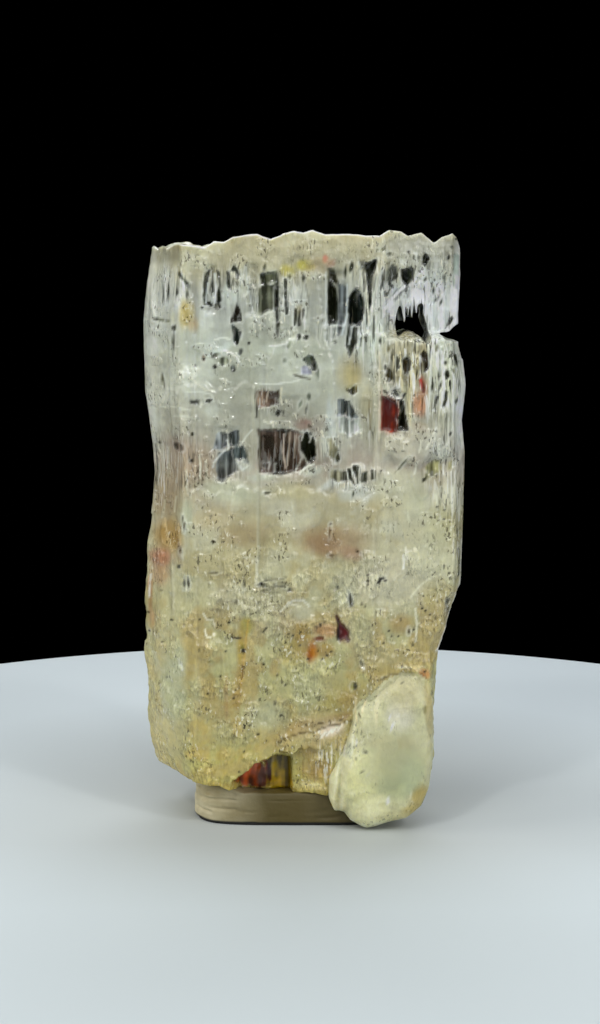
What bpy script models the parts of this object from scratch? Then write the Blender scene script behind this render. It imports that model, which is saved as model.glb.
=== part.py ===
"""Goshenite crystal standing on a pad of mounting putty.

The crystal is one upright beryl prism, flattened from front to back, about 52 mm tall. Its front
faces -Y. The upper half keeps flat prism faces with growth steps and a jagged crown, the lower
half is etched, and a waxy lobe hangs at the lower right in front of the putty. Lengths are worked
out in millimetres and turned to metres when a mesh is made.
"""

import math

import bmesh
import bpy
import numpy as np

MM = 0.001

# The middle of the whole part, seen from above, is moved to the origin.
PART_CENTRE = (0.046, 0.214)

# Plan of the prism: six faces that meet at 120 degrees.
FRONT_Y = -5.6
BACK_Y = 7.6
LEFT_VERTEX = (-13.75, 0.5)
RIGHT_VERTEX = (13.95, -4.2)
FACE_SLOPE = math.tan(math.radians(60.0))

# Side outline seen from the front: height against the half width to each vertex.
LEFT_EDGE = ((3.4, 12.0), (4.8, 12.9), (6.6, 13.5), (8.5, 13.8), (15.0, 13.88), (24.5, 13.75),
             (26.0, 13.45), (28.5, 13.15), (30.8, 12.9), (33.0, 13.0), (36.0, 13.35), (38.0, 13.62),
             (44.0, 13.72), (47.0, 13.45), (50.2, 13.0))
RIGHT_EDGE = ((3.2, 11.2), (7.6, 11.7), (11.5, 11.8), (15.8, 12.1), (18.0, 12.8), (20.1, 13.4),
              (21.5, 13.9), (28.5, 14.05), (33.0, 14.15), (35.8, 13.9), (38.8, 14.2), (41.0, 13.95),
              (42.2, 13.7), (45.0, 13.7), (48.0, 13.8), (50.2, 13.7))
EDGE_SHIFT_FROM = 7.0

# Jagged top edge of the front face, x against height, and the rougher top behind it.
CROWN_EDGE = ((-13.1, 50.1), (-12.4, 50.4), (-11.5, 50.1), (-11.2, 50.7), (-9.4, 50.6), (-8.0, 50.4),
              (-7.2, 50.9), (-6.4, 50.85), (-5.6, 51.3), (-3.6, 51.5), (-2.5, 51.1), (-0.8, 51.75),
              (0.3, 51.6), (1.1, 51.85), (2.1, 51.5), (4.9, 51.5), (5.5, 51.35), (6.7, 51.35),
              (7.5, 51.85), (8.5, 51.75), (9.1, 51.4), (10.2, 51.6), (10.9, 51.1), (11.3, 50.8),
              (12.0, 51.3), (12.9, 51.6), (13.4, 51.2), (13.7, 50.3))
CROWN_BACK_Z = 51.0
CROWN_BACK_DROP = 0.4
CROWN_ROUGHNESS = 0.5
CROWN_COARSE = (1.7, 1.7, 1.0)
CROWN_FINE = (0.8, 0.8, 1.0)
CROWN_FINE_SHARE = 0.6

# Underside: x against height, raised by the worn left corner and pressed low in the middle.
UNDERSIDE = ((-13.9, 9.3), (-13.5, 7.3), (-13.1, 6.0), (-12.6, 5.1), (-12.0, 4.6), (-10.8, 4.15),
             (-9.6, 3.95), (-7.0, 3.9), (-5.0, 2.95), (3.0, 3.05), (8.0, 3.5), (11.0, 4.6), (12.2, 6.4))
UNDERSIDE_BACK_RISE = 1.3
UNDERSIDE_BACK_FROM_Y = 4.5
UNDERSIDE_LUMP = 0.12
UNDERSIDE_LUMP_SIZE = (2.2, 2.2, 1.0)

# Growth steps on the front face: from x, to x, from z, to z, height of the step. Their upper and
# lower edges are wavy: height of each wave and its turn in radians for each millimetre.
FRONT_TERRACES = ((-10.0, -3.6, 22.5, 38.5, 0.30), (7.05, 13.2, 33.0, 42.7, 0.50),
                  (-9.4, 7.6, 4.6, 29.6, 0.30), (4.2, 13.2, 24.0, 31.5, 0.22),
                  (-13.0, -8.6, 40.5, 50.0, -0.18), (-1.2, 3.2, 43.2, 49.0, -0.20))
TERRACE_WAVES = ((0.7, 1.3), (0.35, 3.7))
LEDGE_SLOPE = 0.25

# Upright flutes between the ribs: x, half width, from z, to z, depth.
FRONT_FLUTES = ((-7.6, 0.55, 45.2, 48.6, 0.35), (-4.0, 0.7, 45.0, 48.8, 0.40), (-1.9, 0.3, 44.6, 48.0, 0.3),
                (3.0, 0.85, 44.3, 48.2, 0.45), (5.5, 0.5, 43.5, 48.6, 0.35), (9.0, 0.3, 34.5, 41.0, 0.4),
                (8.4, 0.6, 34.8, 38.0, 0.45), (-6.3, 1.5, 31.0, 35.0, 0.25), (-1.2, 2.2, 31.5, 37.6, 0.25))
FLUTE_END = 0.5

# Set-back upper right corner, above the ledge on top of the right-hand column.
SETBACK_X = 7.3
SETBACK_Z = 43.0
SETBACK_DEPTH = 1.3
SETBACK_FADE_Z = (46.0, 50.0)
SETBACK_FADE = 0.6

# Diagonal ledge at the lower right, x against height. Below it the front is broken back, with a
# deeper cavity beside the putty.
DIAGONAL_LEDGE = ((-6.2, 3.0), (-5.9, 4.4), (-3.9, 5.7), (-0.9, 6.9), (2.6, 7.6), (5.6, 10.8),
                  (8.7, 13.7), (12.0, 14.4))
RECESS_FROM_X = -6.0
RECESS_DEPTH = 1.1
CAVITY_X = (-5.5, -0.8)
CAVITY_TOP_Z = 6.3
CAVITY_DEPTH = 1.5
BROKEN_SLOPE = 0.2

# Scoop in the etched right side.
SCOOP_CENTRE = (10.4, 18.6)
SCOOP_RADII = (3.4, 4.6)
SCOOP_DEPTH = 0.45

# Relief all the way round: upright growth grooves, broad waves, and etching in the lower half.
GROOVE_DEPTH = 0.18
GROOVE_SIZE = (2.6, 2.6, 19.0)
GROOVE_LEVELS = 1.6
WAVE_HEIGHT = 0.12
WAVE_SIZE = (6.0, 6.0, 9.0)
ETCHED_Z = (20.0, 24.0)
ETCH_HEIGHT = 0.24
ETCH_COARSE = (1.9, 1.9, 2.6)
ETCH_FINE = (0.9, 0.9, 1.6)
ETCH_FINE_SHARE = 0.5

# Waxy lobe in front of the putty: its outline seen from the front, x and z, anticlockwise.
LOBE_OUTLINE = ((5.3, 11.5), (4.7, 10.9), (4.5, 9.3), (4.0, 7.6), (3.2, 5.9), (2.55, 4.7), (2.5, 2.9),
                (3.0, 1.75), (3.8, 1.55), (4.4, 0.85), (5.7, 0.12), (7.0, 0.35), (9.1, 0.95),
                (10.6, 2.0), (11.25, 3.7), (11.65, 7.4), (11.6, 11.2), (11.2, 13.2), (9.7, 14.5),
                (7.1, 13.1), (6.2, 12.1))
LOBE_CENTRE = (7.4, 7.0)
LOBE_PLANE_Y = -5.9
LOBE_LEAN = 0.12
LOBE_LEAN_FROM_Z = 6.0
LOBE_FRONT_BULGE = 1.7
LOBE_BACK_BULGE = 3.2
LOBE_ROUNDNESS = 0.6
LOBE_TURNS = (-82.0, 78.0, 11)
LOBE_HANGING_BACK_Y = -5.45
LOBE_HANGING_Z = (4.2, 5.4)
LOBE_LUMP = 0.18
LOBE_LUMP_SIZE = (2.4, 2.4, 2.4)

# Openings at the upper right, each an outline in x and z cut through from front to back.
HOLE_OUTLINE = ((8.35, 43.2), (9.2, 43.4), (10.05, 43.1), (10.6, 42.6), (10.9, 43.2), (10.55, 44.3),
                (10.45, 45.5), (9.5, 45.5), (8.5, 45.3), (8.25, 44.5))
NOTCH_OUTLINE = ((12.05, 43.25), (12.7, 42.75), (15.0, 42.5), (15.0, 44.6), (13.4, 43.9), (12.8, 43.45))
CUT_Y = (-9.0, -4.0, 1.0, 6.0, 10.0)
CUT_MIDDLE_Y = 1.0
CUT_FLARE_FROM = 3.0
CUT_FLARE_TO = 9.0
CUT_FLARE = 0.25

# Putty pad: its reach to each side, how square its corners are, and its outline up the side as a
# share of the plan against a share of the rim's height.
PAD_X = (-9.7, 9.0)
PAD_Y = (-5.0, 5.8)
PAD_RIM_Z = 3.0
PAD_CORNER_POWER = 4.0
PAD_PROFILE = ((0.6, 0.0), (0.975, 0.0), (1.0, 0.3), (1.0, 0.7), (0.985, 0.92))
PAD_TOP_SHARES = (0.9, 0.6, 0.3)
PAD_DENT = 0.12
PAD_DENT_SIZE = (1.5, 1.5, 1.0)
SEAT_GAP = 0.4

# Mesh fineness: columns on each face from the front anticlockwise, close pairs of columns at the
# upright steps, row heights, and rings over the top and the underside.
FACE_COLUMNS = (38, 3, 13, 15, 9, 7)
STEP_X = (-3.6, 7.05, -5.6, -0.7, 2.55, 4.2)
STEP_HALF_WIDTH = 0.06
LOWER_ROWS = (3.5, 24.0, 19)
MIDDLE_ROWS = (25.7, 41.2, 9)
LEDGE_ROWS = (42.4, 42.9, 43.4, 44.4)
UPPER_ROWS = (45.6, 50.9, 5)
LEVEL_FROM_Z = 14.0
LEVEL_TO_Z = 46.0
CAP_SHARES = (0.16, 0.38, 0.64, 0.9)
CAP_RIDGE_HALF = 7.5
CAP_RIDGE_Y = 1.0
CAP_EDGE_SHARE = 0.2
PAD_COLUMNS = 40
NOISE_CELLS = 32


def smooth(value, low, high):
    """An S-curve that is 0 below low and 1 above high."""
    t = np.clip((value - low) / (high - low), 0.0, 1.0)
    return t * t * (3.0 - 2.0 * t)


def along(points, value):
    """Straight-line height of a named outline, given as pairs, at each value."""
    table = np.array(points)
    return np.interp(value, table[:, 0], table[:, 1])


def lumps(x, y, z, size, seed):
    """Smooth bumps from -1 to 1: random values on a lattice of the given cell size, blended."""
    values = np.random.default_rng(seed).uniform(-1.0, 1.0, (NOISE_CELLS,) * 3)
    cells = []
    parts = []
    for axis, step in zip(np.broadcast_arrays(x, y, z), size):
        floor = np.floor(axis / step)
        cells.append(floor.astype(int))
        parts.append(smooth(axis / step - floor, 0.0, 1.0))
    total = 0.0
    for corner in range(8):
        index = []
        weight = 1.0
        for axis in range(3):
            high = (corner >> axis) & 1
            index.append((cells[axis] + high) % NOISE_CELLS)
            weight = weight * (parts[axis] if high else 1.0 - parts[axis])
        total = total + weight * values[tuple(index)]
    return total


def plan_corners():
    """The six corners of the prism, anticlockwise from the front left ridge."""
    left_x, left_y = LEFT_VERTEX
    right_x, right_y = RIGHT_VERTEX
    return [
        (left_x + (left_y - FRONT_Y) / FACE_SLOPE, FRONT_Y),
        (right_x - (right_y - FRONT_Y) / FACE_SLOPE, FRONT_Y),
        (right_x, right_y),
        (right_x - (BACK_Y - right_y) / FACE_SLOPE, BACK_Y),
        (left_x + (BACK_Y - left_y) / FACE_SLOPE, BACK_Y),
        (left_x, left_y),
    ]


def outward_from(span):
    """Direction at a right angle to an edge of the plan, pointing out of the crystal."""
    return np.array([span[1], -span[0]]) / np.hypot(*span)


def plan_columns():
    """Points round the plan and their outward directions, with close pairs at the front's steps."""
    corners = np.array(plan_corners())
    count = len(corners)
    points = []
    outward = []
    for side in range(count):
        start = corners[side]
        span = corners[(side + 1) % count] - start
        share = np.arange(FACE_COLUMNS[side]) / FACE_COLUMNS[side]
        if side == 0:
            steps = (np.array(STEP_X) - start[0]) / span[0]
            pair = STEP_HALF_WIDTH / span[0]
            clear = np.abs(share[:, None] - steps).min(axis=1) > 3.0 * pair
            share = np.sort(np.concatenate([share[clear], steps - pair, steps + pair]))
        normal = outward_from(span)
        ridge = normal + outward_from(start - corners[side - 1])
        points.append(start + share[:, None] * span)
        outward.append(np.where(share[:, None] == 0.0, ridge / np.hypot(*ridge), normal))
    return np.concatenate(points), np.concatenate(outward)


def edge_shift(x, z):
    """Sideways move that gives the outline, seen from the front, its edges at each height."""
    left = along(LEFT_EDGE, z) + LEFT_VERTEX[0]
    right = along(RIGHT_EDGE, z) - RIGHT_VERTEX[0]
    left_share = smooth(-x, EDGE_SHIFT_FROM, -LEFT_VERTEX[0])
    right_share = smooth(x, EDGE_SHIFT_FROM, RIGHT_VERTEX[0])
    return right_share * right - left_share * left


def between(value, low, high, slope):
    """1 from low to high, falling to 0 over a short slope at each end."""
    return smooth(value, low - slope, low + slope) * (1.0 - smooth(value, high - slope, high + slope))


def terrace(x, z, from_x, to_x, from_z, to_z):
    """1 on an upright growth step of the front face, with wavy upper and lower edges."""
    for height, turn in TERRACE_WAVES:
        z = z + height * np.sin(x * turn + from_z)
    lower = smooth(z, from_z - 4.0 * LEDGE_SLOPE, from_z)
    upper = 1.0 - smooth(z, to_z, to_z + 2.0 * LEDGE_SLOPE)
    return between(x, from_x, to_x, LEDGE_SLOPE) * lower * upper


def flute(x, z, middle, half_width, from_z, to_z):
    """1 along the bottom of an upright flute, rising to 0 at its edges and ends."""
    across = np.clip(1.0 - ((x - middle) / half_width) ** 2, 0.0, 1.0)
    return across * smooth(z, from_z - FLUTE_END, from_z) * (1.0 - smooth(z, to_z, to_z + FLUTE_END))


def front_relief(x, z):
    """How far the front face stands out, from its steps, flutes, ledges and broken places."""
    out = 0.0
    for from_x, to_x, from_z, to_z, height in FRONT_TERRACES:
        out = out + height * terrace(x, z, from_x, to_x, from_z, to_z)
    for middle, half_width, from_z, to_z, depth in FRONT_FLUTES:
        out = out - depth * flute(x, z, middle, half_width, from_z, to_z)
    setback = smooth(x, SETBACK_X - 0.3, SETBACK_X + 0.3) * smooth(z, SETBACK_Z - 0.4, SETBACK_Z + 0.5)
    out = out - SETBACK_DEPTH * setback * (1.0 - SETBACK_FADE * smooth(z, *SETBACK_FADE_Z))
    across = (x - SCOOP_CENTRE[0]) / SCOOP_RADII[0]
    upright = (z - SCOOP_CENTRE[1]) / SCOOP_RADII[1]
    out = out - SCOOP_DEPTH * np.clip(1.0 - across**2 - upright**2, 0.0, 1.0) ** 0.5
    below_ledge = 1.0 - smooth(z - along(DIAGONAL_LEDGE, x), -0.35, 0.1)
    recess = below_ledge * smooth(x, RECESS_FROM_X - 0.3, RECESS_FROM_X + 0.3)
    below_roof = 1.0 - smooth(z, CAVITY_TOP_Z - 0.3, CAVITY_TOP_Z)
    cavity = recess * below_roof * between(x, *CAVITY_X, BROKEN_SLOPE)
    return out - RECESS_DEPTH * recess - CAVITY_DEPTH * cavity


def relief(x, y, z):
    """Height of the growth grooves, etching and waves over the flat faces, all the way round."""
    grooves = np.round(GROOVE_LEVELS * lumps(x, y, z, GROOVE_SIZE, 3)) / GROOVE_LEVELS
    etching = lumps(x, y, z, ETCH_COARSE, 5) + ETCH_FINE_SHARE * lumps(x, y, z, ETCH_FINE, 6)
    etched = 1.0 - smooth(z, *ETCHED_Z)
    waves = lumps(x, y, z, WAVE_SIZE, 7)
    return GROOVE_DEPTH * grooves + WAVE_HEIGHT * waves + ETCH_HEIGHT * etching * etched


def side_surface(base, outward, z):
    """Points of the six faces at height z: the plan, shifted to the outline, with all its relief."""
    x = base[:, 0] + edge_shift(base[:, 0], z)
    y = base[:, 1]
    out = relief(x, y, z)
    front = np.clip((RIGHT_VERTEX[1] - y) / (RIGHT_VERTEX[1] - FRONT_Y), 0.0, 1.0)
    forward = front * front_relief(x, z)
    return np.column_stack([x + outward[:, 0] * out, y + outward[:, 1] * out - forward, z])


def underside(x, y):
    """Height of the crystal's lower surface."""
    back = UNDERSIDE_BACK_RISE * smooth(y, UNDERSIDE_BACK_FROM_Y, BACK_Y)
    return along(UNDERSIDE, x) + back + UNDERSIDE_LUMP * lumps(x, y, 0.0, UNDERSIDE_LUMP_SIZE, 11)


def crown(x, y):
    """Height of the jagged top: the measured edge at the front, and a rough surface behind it."""
    edge = along(CROWN_EDGE, x)
    jag = lumps(x, y, 0.0, CROWN_COARSE, 13) + CROWN_FINE_SHARE * lumps(x, y, 0.0, CROWN_FINE, 14)
    rough = 0.5 * (edge + CROWN_BACK_Z) - CROWN_BACK_DROP + CROWN_ROUGHNESS * jag
    behind = smooth(y, FRONT_Y + 0.6, FRONT_Y + 3.5)
    return (1.0 - behind) * edge + behind * rough


def side_rings():
    """Rings of points up the six faces. Rows are level in the middle and bend to meet both rims."""
    base, outward = plan_columns()
    lower, middle, upper = (np.linspace(*rows) for rows in (LOWER_ROWS, MIDDLE_ROWS, UPPER_ROWS))
    rows = np.concatenate([lower, middle, LEDGE_ROWS, upper])
    low_bend = np.clip((LEVEL_FROM_Z - rows) / (LEVEL_FROM_Z - rows[0]), 0.0, 1.0)
    high_bend = np.clip((rows - LEVEL_TO_Z) / (rows[-1] - LEVEL_TO_Z), 0.0, 1.0)
    rings = []
    for row, low, high in zip(rows, low_bend, high_bend):
        x = base[:, 0] + edge_shift(base[:, 0], np.full(len(base), row))
        y = base[:, 1]
        z = row + low * (underside(x, y) - rows[0]) + high * (crown(x, y) - rows[-1])
        rings.append(side_surface(base, outward, z))
    return rings


def cap_rings(rim, height):
    """Rings that run in from a rim towards the middle, each at the height the surface has there."""
    ridge_x = np.clip(rim[:, 0], -CAP_RIDGE_HALF, CAP_RIDGE_HALF)
    target = np.column_stack([ridge_x, np.full(len(rim), CAP_RIDGE_Y)])
    edge = rim[:, 2] - height(rim[:, 0], rim[:, 1])
    rings = []
    for share in CAP_SHARES:
        plan = rim[:, :2] + share * (target - rim[:, :2])
        z = height(plan[:, 0], plan[:, 1]) + edge * max(0.0, 1.0 - share / CAP_EDGE_SHARE)
        rings.append(np.column_stack([plan, z]))
    return rings


def prism_rings():
    """The prism from the middle of its underside, up its faces, to the middle of its crown."""
    sides = side_rings()
    below = cap_rings(sides[0], underside)
    above = cap_rings(sides[-1], crown)
    return below[::-1] + sides + above


def lobe_rings():
    """A pillow over the lobe's outline, from its back, inside the prism, to its front."""
    outline = np.array(LOBE_OUTLINE)
    centre = np.array(LOBE_CENTRE)
    rings = []
    for turn in np.radians(np.linspace(*LOBE_TURNS)):
        share = math.cos(turn) ** LOBE_ROUNDNESS
        x, z = (centre + (outline - centre) * share).T
        bulge = LOBE_FRONT_BULGE if turn > 0.0 else LOBE_BACK_BULGE
        lean = LOBE_LEAN * np.clip(z - LOBE_LEAN_FROM_Z, 0.0, None)
        y = LOBE_PLANE_Y + lean - bulge * math.sin(turn)
        y = y - LOBE_LUMP * share * lumps(x, y, z, LOBE_LUMP_SIZE, 21)
        hanging = 1.0 - smooth(z, *LOBE_HANGING_Z)
        y = y - hanging * np.clip(y - LOBE_HANGING_BACK_Y, 0.0, None)
        rings.append(np.column_stack([x, y, z]))
    return rings


def through_rings(outline):
    """An outline in x and z run from front to back, a little wider at both ends."""
    points = np.array(outline)
    centre = points.mean(axis=0)
    rings = []
    for y in CUT_Y:
        wider = 1.0 + CUT_FLARE * smooth(abs(y - CUT_MIDDLE_Y), CUT_FLARE_FROM, CUT_FLARE_TO)
        x, z = (centre + (points - centre) * wider).T
        rings.append(np.column_stack([x, np.full(len(x), y), z]))
    return rings


def pad_plan(share):
    """The pad's plan, a rectangle with round corners, drawn in towards its middle by a share."""
    angle = np.linspace(0.0, 2.0 * math.pi, PAD_COLUMNS, endpoint=False)
    power = 2.0 / PAD_CORNER_POWER
    round_x = np.sign(np.cos(angle)) * np.abs(np.cos(angle)) ** power
    round_y = np.sign(np.sin(angle)) * np.abs(np.sin(angle)) ** power
    x = 0.5 * (PAD_X[0] + PAD_X[1]) + 0.5 * (PAD_X[1] - PAD_X[0]) * round_x * share
    y = 0.5 * (PAD_Y[0] + PAD_Y[1]) + 0.5 * (PAD_Y[1] - PAD_Y[0]) * round_y * share
    return x, y


def pad_rings():
    """The pad from its flat foot, up its softly dented sides, over a top that follows the crystal."""
    half_depth = 0.5 * (PAD_Y[1] - PAD_Y[0])
    rings = []
    for share, rise in PAD_PROFILE:
        x, y = pad_plan(share)
        dent = PAD_DENT * (1.0 + lumps(x, y, rise, PAD_DENT_SIZE, 31)) if rise > 0.0 else 0.0
        x, y = pad_plan(share - dent / half_depth)
        rings.append(np.column_stack([x, y, np.full(len(x), rise * PAD_RIM_Z)]))
    rim = rings[-1]
    rim[:, 2] = np.minimum(PAD_RIM_Z, underside(rim[:, 0], rim[:, 1]) - SEAT_GAP)
    for share in PAD_TOP_SHARES:
        x, y = pad_plan(share)
        rings.append(np.column_stack([x, y, underside(x, y) - SEAT_GAP]))
    return rings


def ring_object(name, rings, material):
    """Join closed rings of equal length into one body, with a flat cap over the first and last."""
    count = len(rings[0])
    shape = bmesh.new()
    rows = [[shape.verts.new(tuple(point * MM)) for point in ring] for ring in rings]
    for low, high in zip(rows[:-1], rows[1:]):
        for i in range(count):
            j = (i + 1) % count
            shape.faces.new((low[i], low[j], high[j], high[i]))
    shape.faces.new(rows[0][::-1])
    shape.faces.new(rows[-1])
    bmesh.ops.recalc_face_normals(shape, faces=shape.faces)
    bmesh.ops.triangulate(shape, faces=shape.faces)
    mesh = bpy.data.meshes.new(name)
    shape.to_mesh(mesh)
    shape.free()
    if material is not None:
        mesh.materials.append(material)
    body = bpy.data.objects.new(name, mesh)
    body.location = (-PART_CENTRE[0] * MM, -PART_CENTRE[1] * MM, 0.0)
    bpy.context.scene.collection.objects.link(body)
    return body


def add_boolean(body, name, rings, operation):
    """Cut or join a body with a form that is hidden in renders and drawn as wires."""
    form = ring_object(name, rings, None)
    form.hide_render = True
    form.display_type = "WIRE"
    step = body.modifiers.new(name, "BOOLEAN")
    step.operation = operation
    step.solver = "EXACT"
    step.object = form


def make_material(name, colour, roughness, transmission):
    """A plain Principled finish; colour is linear red, green and blue."""
    material = bpy.data.materials.new(name)
    material.use_nodes = True
    shader = material.node_tree.nodes["Principled BSDF"]
    shader.inputs["Base Color"].default_value = (*colour, 1.0)
    shader.inputs["Roughness"].default_value = roughness
    shader.inputs["Metallic"].default_value = 0.0
    shader.inputs["Transmission Weight"].default_value = transmission
    return material


def main():
    for old in list(bpy.data.objects):
        bpy.data.objects.remove(old, do_unlink=True)
    beryl = make_material("pale_beryl", (0.50, 0.48, 0.36), 0.22, 0.5)
    putty = make_material("off_white_putty", (0.55, 0.52, 0.42), 0.6, 0.0)
    crystal = ring_object("goshenite_crystal", prism_rings(), beryl)
    add_boolean(crystal, "lobe_form", lobe_rings(), "UNION")
    add_boolean(crystal, "hole_cutter", through_rings(HOLE_OUTLINE), "DIFFERENCE")
    add_boolean(crystal, "notch_cutter", through_rings(NOTCH_OUTLINE), "DIFFERENCE")
    ring_object("mounting_putty", pad_rings(), putty)


main()
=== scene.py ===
# %% [markdown]
# # A goshenite crystal on its putty
#
# Goshenite is beryl with almost no colour. This one is a flattened six-sided prism about 52 mm
# tall. Fine veils of tiny fluid films make most of it milky, and between the veils it is so clear
# that the dark behind it shows. Iron has stained the etched lower half yellow, with a few rusty
# spots. A pad of off-white putty holds it upright.
#
# Each cell below makes one piece or one finish. The shapes are formulas worked out with numpy,
# and lengths are in millimetres until a mesh is made.

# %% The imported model, which every piece is fitted to
import math
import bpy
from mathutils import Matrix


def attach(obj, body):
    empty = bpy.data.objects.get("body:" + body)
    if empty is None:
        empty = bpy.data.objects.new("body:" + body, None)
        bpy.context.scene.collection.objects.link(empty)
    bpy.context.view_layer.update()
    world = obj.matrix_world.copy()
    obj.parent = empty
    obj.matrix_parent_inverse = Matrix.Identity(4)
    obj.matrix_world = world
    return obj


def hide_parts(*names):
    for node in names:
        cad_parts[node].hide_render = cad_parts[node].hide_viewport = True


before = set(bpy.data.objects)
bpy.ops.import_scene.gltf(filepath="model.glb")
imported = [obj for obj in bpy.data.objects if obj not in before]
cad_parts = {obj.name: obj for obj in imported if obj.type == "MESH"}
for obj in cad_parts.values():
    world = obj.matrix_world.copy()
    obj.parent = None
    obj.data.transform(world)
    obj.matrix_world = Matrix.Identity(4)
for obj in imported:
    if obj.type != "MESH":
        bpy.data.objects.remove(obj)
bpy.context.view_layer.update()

from types import SimpleNamespace

import bpy
import numpy as np

print("nodes:", ", ".join(sorted(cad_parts)))

# %% [markdown]
# ## The camera, and where the photograph sees a point
#
# The picture was taken with a normal lens from about 15 cm away, a little above the middle of the
# crystal, tilted down by 7 degrees. The far rim of the round floor fixes those values. The same
# pinhole formula tells which pixel of the 600 by 1024 photograph shows a point of the crystal, so
# every window, crack and stain can be named by the place where the photograph shows it.

# %% Camera
MM = 0.001
# Middle of the part's outline seen from above, in the drawing's mm.
PART_CENTRE = (0.046, 0.214)
PHOTO_SIZE = (600, 1024)
# Focal length and sensor in mm, the camera's place in mm, and its tilt downwards.
LENS = 60.0
SENSOR_HEIGHT = 36.0
FOCAL_PIXELS = PHOTO_SIZE[1] * LENS / SENSOR_HEIGHT
CAMERA_Y = -150.6
CAMERA_Z = 46.6
CAMERA_PITCH = math.radians(7.31)


def in_metres(point):
    """A point of the drawing in mm, moved to the part's own frame in metres."""
    x, y, z = point
    return ((x - PART_CENTRE[0]) * MM, (y - PART_CENTRE[1]) * MM, z * MM)


def add_camera():
    """The photograph's camera: level from side to side, and tilted down by its pitch."""
    data = bpy.data.cameras.new("photo_camera")
    data.sensor_fit = "VERTICAL"
    data.sensor_height = SENSOR_HEIGHT
    data.lens = LENS
    data.clip_start = 0.01
    camera = bpy.data.objects.new("photo_camera", data)
    camera.location = in_metres((0.0, CAMERA_Y, CAMERA_Z))
    camera.rotation_euler = (math.radians(90.0) - CAMERA_PITCH, 0.0, 0.0)
    bpy.context.scene.collection.objects.link(camera)
    bpy.context.scene.camera = camera


add_camera()
print("focal length in photo pixels:", round(FOCAL_PIXELS, 1))

# %% [markdown]
# ## Small tools
#
# Three kinds of function are used all over: an S-curve that blends from 0 to 1, a reading along an
# outline given by a few pairs, and smooth lumps. The lumps are random values on a lattice, blended
# between its corners, and a fixed seed makes them the same on each run.

# %% Blends, outlines and lumps
LATTICE = 32
OCTAVE_FALL = 0.55


def smooth(value, low, high):
    """S-curve t*t*(3-2t), where t runs from 0 at low to 1 at high."""
    t = np.clip((value - low) / (high - low), 0.0, 1.0)
    return t * t * (3.0 - 2.0 * t)


def along(points, value):
    """Straight-line height of an outline, given as pairs, at each value."""
    table = np.array(points)
    return np.interp(value, table[:, 0], table[:, 1])


def between(value, low, high, slope):
    """1 from low to high, falling to 0 over a short slope at each end."""
    return smooth(value, low - slope, low + slope) * (1.0 - smooth(value, high - slope, high + slope))


def lumps(x, y, z, size, seed):
    """Lattice noise from -1 to 1: eight random corner values, blended with S-curves."""
    values = np.random.default_rng(seed).uniform(-1.0, 1.0, (LATTICE,) * 3)
    cells = []
    parts = []
    for axis, step in zip(np.broadcast_arrays(x, y, z), size):
        floor = np.floor(axis / step)
        cells.append(floor.astype(int))
        parts.append(smooth(axis / step - floor, 0.0, 1.0))
    total = 0.0
    for corner in range(8):
        index = []
        weight = 1.0
        for axis in range(3):
            high = (corner >> axis) & 1
            index.append((cells[axis] + high) % LATTICE)
            weight = weight * (parts[axis] if high else 1.0 - parts[axis])
        total = total + weight * values[tuple(index)]
    return total


def cloud(x, y, z, size, seed, octaves=4):
    """Lumps on lumps: each octave is half the size and a little over half the height of the one before."""
    total = 0.0
    for octave in range(octaves):
        scaled = [step / 2.0**octave for step in size]
        total = total + OCTAVE_FALL**octave * lumps(x, y, z, scaled, seed + octave)
    return total


def layered(x, y, z, layers):
    """Sum of several lumps, each given by its height, the size of its lumps in mm and its seed."""
    return sum(height * lumps(x, y, z, size, seed) for height, size, seed in layers)


def linear(hex_colour):
    """An sRGB hex colour as linear red, green and blue."""
    srgb = np.array([int(hex_colour[i : i + 2], 16) for i in (1, 3, 5)]) / 255.0
    return np.where(srgb <= 0.04045, srgb / 12.92, ((srgb + 0.055) / 1.055) ** 2.4)


def ring_mesh(name, grid):
    """Close a grid of rings, rows by columns by 3, into one mesh with a flat cap at each end."""
    rows, columns, _ = grid.shape
    column = np.arange(columns)
    low = np.arange(rows - 1)[:, None] * columns
    quads = np.stack([low + column, low + (column + 1) % columns,
                      low + columns + (column + 1) % columns, low + columns + column], axis=-1)
    last = (rows - 1) * columns
    faces = quads.reshape(-1, 4).tolist() + [column[::-1].tolist(), (last + column).tolist()]
    points = (grid.reshape(-1, 3) - np.array([*PART_CENTRE, 0.0])) * MM
    mesh = bpy.data.meshes.new(name)
    mesh.from_pydata(points.tolist(), [], faces)
    mesh.update()
    return mesh


def add_object(name, mesh):
    """Put a mesh into the scene under its name."""
    piece = bpy.data.objects.new(name, mesh)
    bpy.context.scene.collection.objects.link(piece)
    return piece


def photo_pixels(x, y, z):
    """Pixel of the photograph that shows a point seen through the crystal.

    A sight line bends as it enters the crystal, so a point on the back wall is first followed
    forwards to the front face, with its slope divided by the refractive index.
    """
    depth = np.clip(y - FRONT_Y, 0.0, None)
    bend = depth / (BERYL_IOR * (FRONT_Y - CAMERA_Y))
    front_x = x * (1.0 - bend)
    front_z = z + bend * (CAMERA_Z - z)
    ahead = np.minimum(y, FRONT_Y) - CAMERA_Y
    rise = front_z - CAMERA_Z
    distance = ahead * math.cos(CAMERA_PITCH) - rise * math.sin(CAMERA_PITCH)
    height = ahead * math.sin(CAMERA_PITCH) + rise * math.cos(CAMERA_PITCH)
    u = PHOTO_SIZE[0] / 2.0 + FOCAL_PIXELS * front_x / distance
    v = PHOTO_SIZE[1] / 2.0 - FOCAL_PIXELS * height / distance
    return u, v


# %% [markdown]
# ## What the photograph shows on the crystal
#
# A mark is named by the pixel at its middle, u to the right and v down, its half width and half
# height in pixels (about 11.7 to a millimetre) and its tilt in degrees, positive when its top
# leans right. The marks could be painted as an image. They are functions of the place instead, so
# the same mark can colour the surface, make it clear and sink it into the face.

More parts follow.
